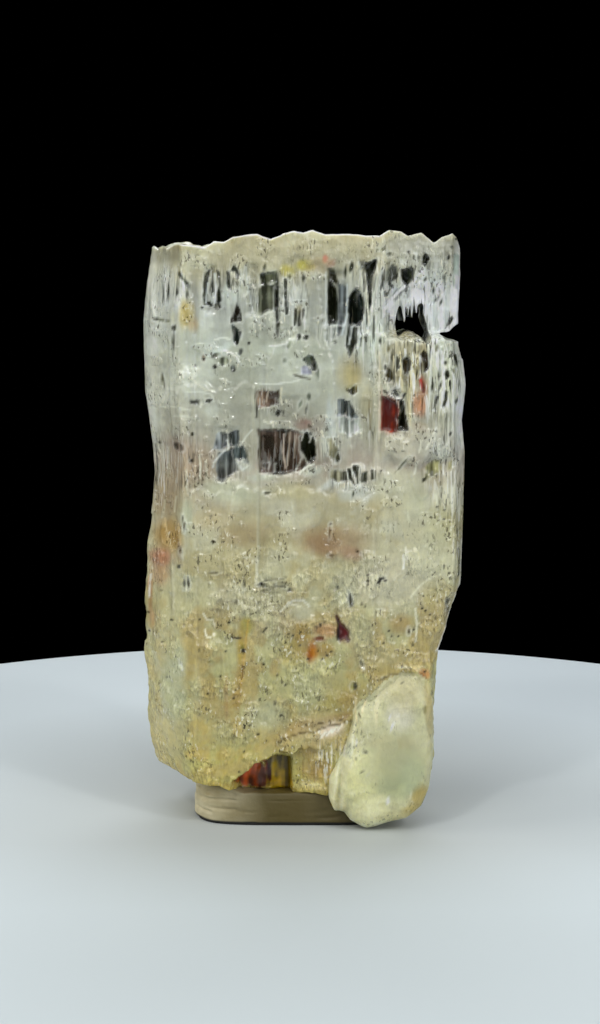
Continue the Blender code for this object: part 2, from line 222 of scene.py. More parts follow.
# %% Windows: clear places between the veils, through which the dark behind shows
# Upper colour, lower colour, clearness, depth in mm, then u and v of each corner.
CUTS = (
    # Upper left: the tall arches and the grey-green panel
    ("#262a22", "#1c2019", 0.85, 0.15, (209.5, 267, 205.5, 272.5, 203.6, 282, 202.8, 299, 206.5, 301.5,
     206.8, 290, 208.2, 279, 210.8, 271)), ("#1c2018", "#181c14", 0.92, 0.15, (211.6, 270, 213.4, 270.5,
     213.2, 283, 214.8, 296, 212.4, 297, 211, 284)), ("#1c2018", "#181c14", 0.92, 0.15, (216.4, 269.5,
     219.4, 271.5, 220.4, 288, 220.2, 301, 217.6, 305, 215.4, 301, 216.2, 291, 218.2, 286, 217.4, 276)),
    ("#2e322a", "#5a5c50", 0.65, 0.1, (203, 299, 208, 302, 219, 303, 221.5, 308, 217, 310, 208, 305,
     203.4, 305)), ("#1a1e18", "#2a2e28", 0.9, 0.14, (227.2, 272, 229.2, 271.5, 229.4, 281, 232, 290.5,
     230, 290.5, 227, 283)), ("#2c302a", "#4a4e48", 0.85, 0.12, (231, 270.5, 233.8, 265.6, 236.8, 267.5,
     239, 275, 238, 279, 235.8, 272, 233.4, 269.5)), ("#5c5248", "#332a20", 0.7, 0.1, (236.8, 303,
     240.5, 311, 242.3, 321.5, 231, 321.8, 232.5, 314)), ("#231e16", "#2b2620", 0.9, 0.12, (231.5, 317.5,
     241.5, 318, 242.3, 322, 231.2, 322)), ("#5c6866", "#343f3c", 0.8, 0.14, (231.8, 324, 242, 331,
     240.6, 338, 237, 345.5, 233, 341, 232.2, 332)), ("#303e3c", "#2a3634", 0.85, 0.14, (234, 331,
     240.8, 333, 239.5, 339.5, 236.6, 344.5, 234.6, 339)), ("#666a55", "#4b4f3d", 0.62, 0.2, (259, 273.5,
     277.6, 270, 277.6, 282, 260, 286)), ("#5e6252", "#80846f", 0.5, 0.18, (259.2, 287, 277.6, 283,
     277.4, 309, 270, 311, 258, 316.5, 257.2, 300)), ("#3b3f35", "#191b14", 0.85, 0.2, (275.4, 288,
     277.9, 287, 278.4, 305, 278, 318, 278.8, 337, 276.2, 338.5, 276.4, 320, 275.4, 305)),
    ("#3a3e33", "#33372c", 0.8, 0.1, (284.6, 279, 286.4, 278.5, 287, 296, 286.8, 314, 285, 314, 284.4, 296)),
    ("#3c3c2a", "#1c1e14", 0.9, 0.12, (295.2, 309.5, 296.8, 309, 296.4, 318, 294.8, 325.5, 293.2, 325,
     295, 317)), ("#3c3c2a", "#1c1e14", 0.9, 0.12, (299.2, 310, 300.6, 310.5, 300, 320, 300.8, 326,
     298.2, 325.5, 298.8, 317)), ("#3c3c2a", "#1c1e14", 0.9, 0.12, (302.4, 309, 303.6, 309.5, 303.4, 319,
     302.2, 326, 301.4, 319)),
    # Upper middle: the three black windows and the blade between them
    ("#2a2b1c", "#10130d", 0.97, 0.26, (328.4, 280, 333, 283, 337.2, 289, 338, 303, 336.4, 323, 329.2, 325.5,
     327.2, 314, 327, 292)), ("#77765a", "#3c3d2b", 0.6, 0.15, (327.6, 268, 334, 269, 338.5, 281, 337.4, 288,
     333, 283, 328, 280)), ("#666e70", "#8d9494", 0.35, 0.08, (338.2, 283, 346.6, 287, 346.4, 303,
     345.4, 322, 340, 336, 336.6, 336, 338.6, 320)), ("#172021", "#0a1214", 0.98, 0.28, (352.5, 290,
     356, 288.2, 360.6, 291, 364.4, 301, 362.6, 321, 360.3, 325.8, 349, 325.8, 347.3, 312, 348, 298)),
    ("#343a32", "#54594c", 0.72, 0.12, (349, 326, 358.5, 326.5, 356.3, 343, 349.8, 357.5, 344.8, 346,
     346.8, 333)), ("#22271f", "#0e110d", 0.97, 0.26, (364.6, 262, 370.5, 261, 377, 258.2, 376.2, 267,
     372.8, 275, 372.6, 288, 368.6, 297.5, 366, 283)), ("#0e120e", "#161a16", 0.96, 0.16, (368, 294,
     371.5, 291.5, 371.6, 303, 369.8, 312.5, 368.2, 305)), ("#2a2e27", "#1a1e18", 0.88, 0.12, (381.6, 266,
     383.6, 267, 383.6, 279, 381, 290, 379, 294, 380.8, 280)), ("#12140f", "#12140f", 0.95, 0.12,
     (383.6, 291, 387, 292.6, 390.6, 289.4, 388.6, 295.4, 384.6, 296)), ("#12140f", "#12140f", 0.95, 0.12,
     (388.2, 283.4, 390.4, 282.6, 394.2, 287, 392.2, 288.2)), ("#9a9c8c", "#86897b", 0.35, 0.08, (385, 272,
     392, 264, 398, 268, 398, 277, 391, 283, 385, 282)),
    # White veils and blades, which are not clear
    ("#cccbb2", "#c6c8b4", 0.02, 0, (356.5, 261, 364, 261, 366, 285, 368.8, 300, 369, 318, 366, 304,
     361, 285)), ("#eef2ee", "#dde3de", 0.02, -0.12, (383, 307, 388, 298, 397, 290, 403.5, 284.5, 409, 286,
     404, 292, 397, 300, 389, 312, 383, 317)), ("#f4f6f2", "#e6ebe8", 0.02, -0.1, (409, 288.5, 417, 285.5,
     423, 291, 424, 300, 417, 302, 408, 298)),
    # Upper right: the heart-shaped window, the black arch and the slit
    ("#262e26", "#171e18", 0.98, 0.3, (401, 268, 407, 269.4, 411.4, 266.2, 414.2, 269.8, 413.8, 276.5,
     410, 284, 407.4, 285.6, 402.4, 281.8, 400.8, 275)), ("#20241b", "#10130c", 0.94, 0.14, (425.6, 254.3,
     428, 255, 429.8, 259, 427.2, 264, 424.6, 266.8, 422.8, 263.4, 423.8, 257.4)),
    ("#050605", "#050605", 1, 0.3, (452.6, 316.8, 453.6, 318.6, 449.6, 325.4, 446.6, 330.4, 446, 328.2,
     449.4, 321.6)), ("#6f786f", "#9ba49c", 0.5, 0.1, (454.6, 252, 459.6, 256, 460.6, 276, 458, 290,
     454.4, 284, 453.4, 266)),
    # Right-hand column: dark slits between the fibres, and the red iron pocket
    ("#17150e", "#17150e", 0.93, 0.16, (396.2, 356, 398.2, 356, 398.6, 368.5, 396.6, 369.5)),
    ("#4a3d28", "#241e14", 0.85, 0.16, (402.8, 360, 406.6, 358, 411.4, 362, 410.6, 369, 407.2, 374.5,
     403.8, 373)), ("#4a432c", "#3c3722", 0.8, 0.12, (385.4, 365, 387.6, 365.4, 392.6, 373.5, 394.2, 379.5,
     388, 381, 385.4, 376)), ("#3a3020", "#241d13", 0.86, 0.14, (420.6, 354.5, 424, 351, 428.4, 355.5,
     429, 364, 427.6, 371, 424.4, 372, 423.4, 362)), ("#14110b", "#14110b", 0.94, 0.18, (388.4, 393,
     394.9, 385.5, 399.5, 390, 402.5, 399.4, 395, 397.6, 390.5, 396)), ("#780c04", "#a03414", 0.1, 0.28,
     (380.6, 396, 384, 396, 392, 399, 397.5, 404, 399.5, 411, 397.4, 421, 397, 431, 392, 432.6, 385, 430,
     380.2, 431.5)), ("#100e09", "#1a1710", 0.96, 0.3, (398, 399, 403.5, 401, 405.6, 412, 407.4, 430,
     401, 431.5, 397.2, 431, 397.5, 418, 399.6, 411, 398.8, 404)), ("#b84434", "#a84a3a", 0.1, 0.08,
     (419.4, 378, 421.6, 379, 424.4, 388, 424.6, 393, 421.6, 392.5, 419.4, 386)),
    ("#12130c", "#12130c", 0.95, 0.12, (436.2, 396, 437.6, 397, 436, 404, 434.4, 409.6, 432.4, 409.4,
     434.4, 402)), ("#12130c", "#12130c", 0.95, 0.14, (445.8, 391, 447.6, 392, 446.4, 400, 443.6, 408,
     441.6, 407, 444, 399)), ("#1e2016", "#14150e", 0.92, 0.12, (446.4, 369, 449.8, 371.5, 450.4, 378,
     446.6, 379.5, 445, 374.5)), ("#2c2e22", "#1c1e15", 0.88, 0.12, (453.8, 355, 456.6, 354, 458.6, 362,
     457.8, 368, 455.2, 366)),
    # Centre: small dark bird shape, grey window and slits
    ("#454b40", "#2a3028", 0.85, 0.14, (303, 359.5, 309, 353, 313, 355, 318.6, 366, 319, 371.5, 312, 370,
     307.5, 364.5)), ("#9a9ca6", "#8f919b", 0.35, 0.06, (300.5, 367, 305, 366, 312, 370, 311.6, 374,
     301, 374)), ("#585e5f", "#6e7474", 0.72, 0.16, (338, 399.5, 344, 399, 350, 402, 359, 418, 352, 419.5,
     344, 416, 337.5, 417)), ("#868c88", "#a2a69c", 0.4, 0.08, (338, 417, 345, 416.5, 352, 420, 359, 419,
     361, 431, 350, 436, 338, 431)), ("#6c6440", "#3e3a24", 0.8, 0.1, (344.6, 386, 350, 389, 355.6, 386,
     356.6, 392, 352, 395, 346, 391)), ("#84816a", "#5c5b46", 0.6, 0.1, (326.5, 439, 331, 437, 337.6, 448,
     339.5, 460, 334.5, 462, 329, 455)), ("#93917a", "#7a7964", 0.45, 0.1, (329.5, 470.5, 346.8, 471.5,
     348, 481.5, 336, 482, 331.5, 478)), ("#27281d", "#1a1b13", 0.92, 0.12, (353.4, 465.5, 359, 466.5,
     358, 471, 358.6, 486, 356.4, 484, 355.2, 474, 352.8, 470)), ("#33342a", "#33342a", 0.85, 0.1,
     (347, 468.5, 349.6, 469.5, 352.8, 479, 357, 487, 354.6, 486, 350, 479)),
    ("#2e3024", "#2a2c20", 0.88, 0.12, (370.6, 469.5, 373.6, 469.5, 373.9, 479.5, 371.2, 480)),
    ("#4a4c3c", "#55574a", 0.75, 0.1, (362, 473, 366.8, 472.5, 366.2, 482.5, 361.2, 482.5)),
    ("#8f8d66", "#7c7b58", 0.35, 0.06, (425.6, 467, 431.5, 460.5, 440, 459.5, 439.4, 472, 430, 477.5,
     425, 479.5)), ("#1c1d15", "#1c1d15", 0.9, 0.1, (421.5, 478.6, 426.2, 477, 425.4, 480.8, 422.6, 482.8)),
    # Middle left: the bluish window, and the big brown and black one beside it
    ("#55595a", "#3c4545", 0.75, 0.18, (228.2, 433.5, 233, 430.5, 238.8, 430.5, 238.8, 444.6, 235, 448,
     229.4, 446)), ("#8b908d", "#7a8082", 0.45, 0.08, (217, 431.5, 228, 433.5, 228, 446, 222.5, 450.5,
     213.5, 448.5)), ("#4e5757", "#474f4e", 0.76, 0.16, (229.5, 448.5, 243.8, 444.7, 247, 452.5, 247, 459,
     235, 460.5, 230, 456)), ("#667071", "#83827a", 0.6, 0.14, (218, 452.5, 232, 450.5, 237, 461.5,
     238.5, 470.5, 227, 478, 222.5, 482.5, 216, 479.5, 217, 462.5)), ("#62544a", "#43362d", 0.6, 0.26,
     (258, 429.5, 290, 428.5, 300, 433, 308, 431, 315, 437, 316, 456, 306, 467, 300, 470, 288, 474,
     277, 474.5, 258.5, 472.5)), ("#1c2018", "#0d100b", 0.96, 0.16, (299.5, 438, 303.5, 432, 310, 431.5,
     315.5, 436, 315.6, 458, 311, 464, 304.5, 458, 300.5, 450)), ("#2a1c18", "#2a1c18", 0.9, 0.08,
     (262.5, 462.5, 268.5, 464, 267, 469, 262.6, 467)), ("#241812", "#1c120e", 0.9, 0.08, (275.4, 464.5,
     279.6, 466, 280, 473.8, 275.8, 473.5)), ("#6d6557", "#544c40", 0.6, 0.08, (255.2, 391, 258.4, 390,
     258.2, 418, 255.6, 418)), ("#77604e", "#8a7664", 0.5, 0.12, (258.6, 391, 278.6, 390.5, 278, 404,
     271, 406.5, 258.4, 408)), ("#15140f", "#15140f", 0.95, 0.12, (275.2, 411.5, 279.2, 410.2, 280.6, 414,
     277.6, 416.8, 275.4, 415)), ("#201f18", "#201f18", 0.9, 0.1, (281.6, 410.5, 284, 411, 283.8, 415,
     281.8, 415.4)), ("#8b8d82", "#97998d", 0.35, 0.06, (189.5, 400, 201, 399.6, 205.5, 401, 203, 405,
     190, 404.5)), ("#24241c", "#24241c", 0.92, 0.08, (205.4, 399.8, 211.8, 399.8, 209, 402.6, 205.6, 402)),
    # Left bevel and lower half
    ("#241c12", "#2c2214", 0.9, 0.12, (181.6, 514, 183.8, 516, 185.2, 524, 184.4, 533, 182.8, 526)),
    ("#3a2c18", "#3a2c18", 0.8, 0.1, (178.4, 545, 181.8, 551, 181.6, 559, 179.2, 553)),
    ("#120d09", "#120d09", 0.3, 0.1, (376.8, 583, 380, 577, 383.4, 576.2, 386.4, 581, 384.2, 582, 381.6, 580,
     379.4, 584.2)), ("#2a281c", "#201e14", 0.85, 0.1, (349.2, 592, 351.4, 597, 352.6, 604.5, 350.2, 606.5,
     348.4, 600)), ("#4c0a0a", "#3a0608", 0.15, 0.12, (335.8, 615, 339, 620, 343.4, 624.4, 347.9, 631,
     350.2, 640.7, 347.7, 642.5, 343.4, 638.5, 340.1, 641.8, 336.6, 639.6, 336.9, 630.9, 338, 624.4)),
    ("#54280a", "#4c240a", 0.2, 0.06, (315, 637, 324.5, 636.6, 324.5, 639.6, 316.8, 640.4)),
    ("#a04a14", "#84380e", 0.05, 0, (234.6, 782.2, 240.9, 776.8, 255, 764.8, 260.4, 762.2, 263.5, 766,
     266.8, 772, 268.4, 788, 260.4, 790.4, 244.1, 788.2)), ("#8e7a14", "#a88a10", 0.05, 0, (264.7, 761,
     269, 757.8, 288.8, 756.6, 292.9, 784.4, 291.8, 791.2, 275.6, 794.4, 266, 790, 267.4, 776)),
    ("#5c120a", "#6a1e08", 0.05, 0, (262, 760, 266.4, 760, 270, 768, 272.2, 784, 268.6, 784.5, 266.6, 772)),
    ("#17160f", "#17160f", 0.95, 0.14, (446.4, 599, 449.2, 600, 449.8, 610, 448.4, 616, 446.6, 609)),
)

# Smaller ones: middle, half width, half height, tilt, squareness, colour, clearness, depth.
WINDOWS = (
    (161.8, 292, 1, 11, 2, 1.4, "#3c4038", 0.75, 0.08), (167.5, 291, 1.2, 10, 0, 1.4, "#30342c", 0.8, 0.08),
    (181, 277, 1.6, 5, -30, 2, "#30362c", 0.85, 0.08), (186, 283, 2.2, 6.5, -30, 2, "#5c6656", 0.6, 0.08),
    (176.8, 293, 1.3, 5, 0, 1.4, "#30342c", 0.8, 0.08), (187.5, 294, 1.2, 6, 0, 1.4, "#777c6a", 0.5, 0.05),
    (247, 271, 1.2, 5, 5, 1.4, "#6b6d60", 0.6, 0.05), (264.5, 267.5, 1.3, 4, 10, 1.4, "#4c4e3a", 0.7, 0.06),
    (303.3, 278, 1.5, 3.6, 0, 2, "#33362a", 0.8, 0.08), (289.5, 277, 1.6, 2.6, 0, 2, "#4a4c34", 0.75, 0.06),
    (298.5, 337, 2.4, 3, 20, 2, "#6b6e62", 0.55, 0.05),
    (293.5, 335.5, 1.8, 3.6, 30, 2, "#858878", 0.4, 0.05),
    (306, 337.5, 2.6, 2.8, 30, 2, "#1a1b14", 0.9, 0.1), (351, 267.5, 1.6, 4.5, 10, 2, "#33372c", 0.85, 0.08),
    (345.5, 272, 1.2, 5, 3, 1.4, "#5a5e4e", 0.65, 0.06), (356, 300, 1.2, 3, 0, 1.4, "#22302f", 0.9, 0.08),
    (352, 340, 1, 8, 12, 1.4, "#2e3429", 0.85, 0.08), (361, 334, 1.1, 4.5, 0, 1.4, "#20251e", 0.9, 0.08),
    (380.2, 341, 1.2, 4, 0, 1.4, "#262a22", 0.85, 0.08),
    (394.8, 326.5, 1.1, 4, 0, 1.4, "#2e322a", 0.8, 0.06),
    (369.5, 280.5, 1.2, 3.5, -10, 1.4, "#747a74", 0.5, 0.04),
    (408.6, 252.2, 1.8, 1.3, 20, 2, "#2a2c22", 0.85, 0.08), (414, 256.8, 1, 2.2, 0, 2, "#4a4c40", 0.7, 0.06),
    (418.3, 257.5, 1, 2.6, 0, 1.4, "#4a4c40", 0.7, 0.06),
    (425.5, 279.5, 1.3, 3, 22, 1.4, "#33362c", 0.85, 0.08),
    (434, 290.5, 1.1, 3.6, 4, 1.4, "#2b3029", 0.85, 0.08),
    (438.8, 297.5, 1, 4.2, 20, 1.4, "#20241e", 0.9, 0.08),
    (441.3, 302.5, 1.1, 3.6, 22, 1.4, "#20241e", 0.9, 0.08),
    (436, 300, 0.9, 3, 25, 1.4, "#3a3e36", 0.8, 0.06),
    (448.5, 257.5, 1.2, 2.6, 12, 1.4, "#33362c", 0.85, 0.08),
    (452, 247, 2, 1.6, 40, 2, "#5a5e4e", 0.55, 0.06), (457, 238.8, 1.1, 1.2, 0, 2, "#1a1c17", 0.85, 0.06),
    (445, 279, 1.2, 2.6, 10, 1.4, "#5c625a", 0.6, 0.05), (454, 282, 1, 5, 0, 1.4, "#6c746c", 0.5, 0.05),
    (383, 249.5, 2.4, 1.4, 20, 2, "#70725f", 0.5, 0.05), (389.5, 254, 2, 2.4, -30, 2, "#55574a", 0.6, 0.06),
    (377.5, 250, 1.2, 1.2, 0, 2, "#7c7e6c", 0.5, 0.05), (334.5, 342.5, 3, 1.6, 5, 2, "#a6aa9c", 0.3, 0.04),
    (421, 365, 1, 6, 0, 1.4, "#4c4432", 0.75, 0.08), (431, 352.5, 1.2, 5, 4, 1.4, "#4c4c3a", 0.75, 0.08),
    (437, 349, 1.6, 4, 10, 2, "#63634e", 0.6, 0.06), (440.5, 356, 1, 4, -10, 1.4, "#33342a", 0.85, 0.08),
    (439, 375, 1.2, 5, 6, 1.4, "#26281d", 0.88, 0.08), (445.5, 363, 1.6, 2.6, 0, 2, "#4a4c3c", 0.75, 0.08),
    (453.5, 372, 1.2, 4, 5, 1.4, "#4a4c3c", 0.75, 0.06), (431.5, 388, 1, 5, 20, 1.4, "#3c3d2e", 0.8, 0.06),
    (456.3, 401, 1.1, 2.6, 15, 1.4, "#11120c", 0.95, 0.1),
    (450.5, 433.8, 1.2, 3, 22, 1.4, "#11120c", 0.95, 0.1),
    (440, 386.5, 1, 4, 18, 1.4, "#2b2c21", 0.85, 0.08), (388.5, 349, 1, 3, 0, 1.4, "#6e6844", 0.6, 0.05),
    (392, 357, 1, 4, 0, 1.4, "#7c7448", 0.55, 0.05), (413.5, 351, 1.2, 4, 8, 1.4, "#7c7048", 0.55, 0.05),
    (385, 367.5, 1.2, 2.6, -8, 1.4, "#17160f", 0.9, 0.08),
    (215.5, 355.5, 4.2, 2.2, -20, 2, "#7d8272", 0.5, 0.05),
    (223.5, 361.5, 4.6, 4.2, 0, 2, "#878c7b", 0.5, 0.06), (233, 369, 2.6, 3.4, 0, 2, "#8c928a", 0.4, 0.05),
    (240, 352, 2, 3.6, 20, 2, "#8d928a", 0.4, 0.05), (203.5, 358.5, 1.6, 2.8, 0, 2, "#7a6c5c", 0.55, 0.05),
    (285, 361, 2, 3, 0, 2, "#7c8274", 0.5, 0.05), (289, 345, 1.6, 4.5, 20, 2, "#7c8274", 0.5, 0.05),
    (317.5, 372, 1.8, 6, -6, 2, "#595f54", 0.65, 0.06), (298, 376, 5, 0.9, 12, 2, "#5a5c50", 0.6, 0.04),
    (173.2, 343, 1.2, 15, 2, 1.4, "#55574a", 0.7, 0.08), (173.8, 328, 1.7, 3, 0, 2, "#1e1f18", 0.9, 0.1),
    (158.5, 320, 5, 1.5, 4, 2, "#868a78", 0.45, 0.04), (168, 321, 2, 1.2, 0, 2, "#60634f", 0.6, 0.05),
    (161.8, 379, 1.1, 10, -12, 1.4, "#686650", 0.65, 0.06),
    (178.5, 447, 5.5, 3.6, 30, 2, "#6c6258", 0.55, 0.05), (192.5, 434, 1.6, 1.8, 0, 2, "#3c3a30", 0.8, 0.06),
    (192, 461, 1.8, 1.8, 0, 2, "#35332a", 0.8, 0.06), (245, 461.5, 3, 1.6, 10, 2, "#7a7d76", 0.5, 0.05),
    (309, 397, 1.6, 3.6, 5, 2, "#6e7668", 0.55, 0.05),
    (300.5, 404, 1.2, 3.6, 20, 1.4, "#5a6054", 0.65, 0.05),
    (306.5, 409, 1, 5, 8, 1.4, "#5a6054", 0.65, 0.05), (338, 458, 1.8, 3.6, 10, 2, "#4a4a38", 0.75, 0.06),
    (369.6, 415, 0.9, 12, -3, 1.4, "#8a7c58", 0.5, 0.05), (346.5, 428, 1, 7, -10, 1.4, "#7c827c", 0.5, 0.04),
    (401.8, 465, 0.8, 6.5, 40, 1.4, "#66664a", 0.65, 0.05),
    (267.8, 493, 4, 1.2, -4, 2, "#55553f", 0.65, 0.06),
    (353.2, 494, 0.9, 3.6, 10, 1.4, "#55584c", 0.7, 0.05), (331, 524, 1.2, 1.2, 0, 2, "#5a4430", 0.7, 0.05),
    (330, 532, 0.9, 5, 0, 1.4, "#77603c", 0.5, 0.04), (358, 552, 2.4, 1.2, 40, 2, "#5c4630", 0.65, 0.05),
    (331, 556, 2, 1, 0, 2, "#5c4630", 0.65, 0.05), (184.3, 583.5, 1, 4.2, 0, 1.4, "#3c3a2c", 0.8, 0.08),
    (188.3, 583.5, 1, 4.2, -5, 1.4, "#2e2c20", 0.88, 0.08), (213, 573, 5, 0.9, 0, 2, "#86836a", 0.45, 0.03),
    (266, 580, 8, 0.9, 0, 2, "#86836a", 0.45, 0.03), (262, 585.5, 4, 1.2, 5, 2, "#55533e", 0.65, 0.05),
    (281, 586, 6, 0.9, 0, 2, "#6e6c54", 0.55, 0.03), (290, 590, 2.4, 1.2, 0, 2, "#66644c", 0.6, 0.04),
    (244.5, 585, 1.2, 4, 10, 1.4, "#7c7a60", 0.5, 0.04), (409, 632, 1, 2, 0, 2, "#4a4026", 0.75, 0.05),
    (361.5, 663.5, 1, 3.6, -20, 1.4, "#55533a", 0.7, 0.05),
    (384.5, 678, 3.6, 1.6, -30, 2, "#6b6344", 0.6, 0.05), (354, 687, 3.6, 3.6, 0, 2, "#6e6a40", 0.55, 0.06),
)

print("windows:", len(CUTS) + len(WINDOWS))
# %% Pits, stains and streaks
# Pits: u, v, radius in pixels.
PITS = (
    (202, 307.5, 1.5), (215, 366.7, 2.2), (195, 366, 1.3), (203.6, 359, 1.5), (234, 370, 1.5),
    (249, 343, 1.6), (157.9, 444, 1.5), (213, 541.8, 1.8), (178.5, 567, 1.9), (171, 621, 1.6),
    (229, 622.5, 1.8), (246.5, 664, 1.2), (263.5, 664, 1.4), (285.5, 685, 1), (275, 703, 1.4), (193, 762, 1),
    (197, 770, 1), (285, 748, 1.1), (292, 747, 1), (422.5, 608.7, 1.4), (413.8, 630, 1.3), (413.3, 645, 1.2),
    (401, 620, 1.2), (389, 631, 1.2), (366, 752, 1.1), (243.5, 651, 2.4), (424.7, 672, 1.2), (264, 436, 1.8),
    (160, 592, 1), (146.5, 616, 1.2), (192, 461, 1.2), (381, 471, 1), (437, 507, 1), (444.5, 510, 1.2),
    (444, 519, 1.2), (365, 606, 1.1), (361.8, 603.8, 1.2), (238, 638, 1.4), (232, 637, 1.4),
    (261.5, 583.7, 1.8), (147.6, 634.7, 1.3), (207.8, 693.3, 1.3), (220.3, 676.5, 1), (225.7, 651.5, 1.2),
    (199.1, 650.2, 1.1), (199.7, 620, 1.2), (161.7, 644.5, 1), (165.5, 679.2, 1), (277.2, 675.9, 1.3),
    (233.8, 697.6, 1.4), (337.7, 587.5, 1.3), (367.8, 575.5, 1.3), (368, 580.5, 1.6), (368, 584, 1.4),
    (430.2, 614.7, 1.2), (449, 573.5, 1.3), (450, 578, 1.3), (391.7, 636.1, 1.1), (398.5, 636.6, 1),
    (383.5, 642.9, 1.1), (316.3, 627, 1.2), (320.6, 625, 1.6), (324.5, 622.8, 1.1), (308, 659, 1.1),
    (327, 655, 1.3), (331, 651.5, 1.2), (322.5, 659, 1.2), (318, 650.5, 1.1), (351.5, 604.9, 1.3),
    (425.6, 611.5, 1.4), (296, 668, 1.1), (300, 645, 1.1), (293, 636, 1.2), (288.5, 633.5, 1.2),
    (239, 772, 1.1), (244, 752, 1), (281, 715.5, 1.2), (250, 726, 1.3), (258, 734, 1.6), (362, 772, 0.9),
)

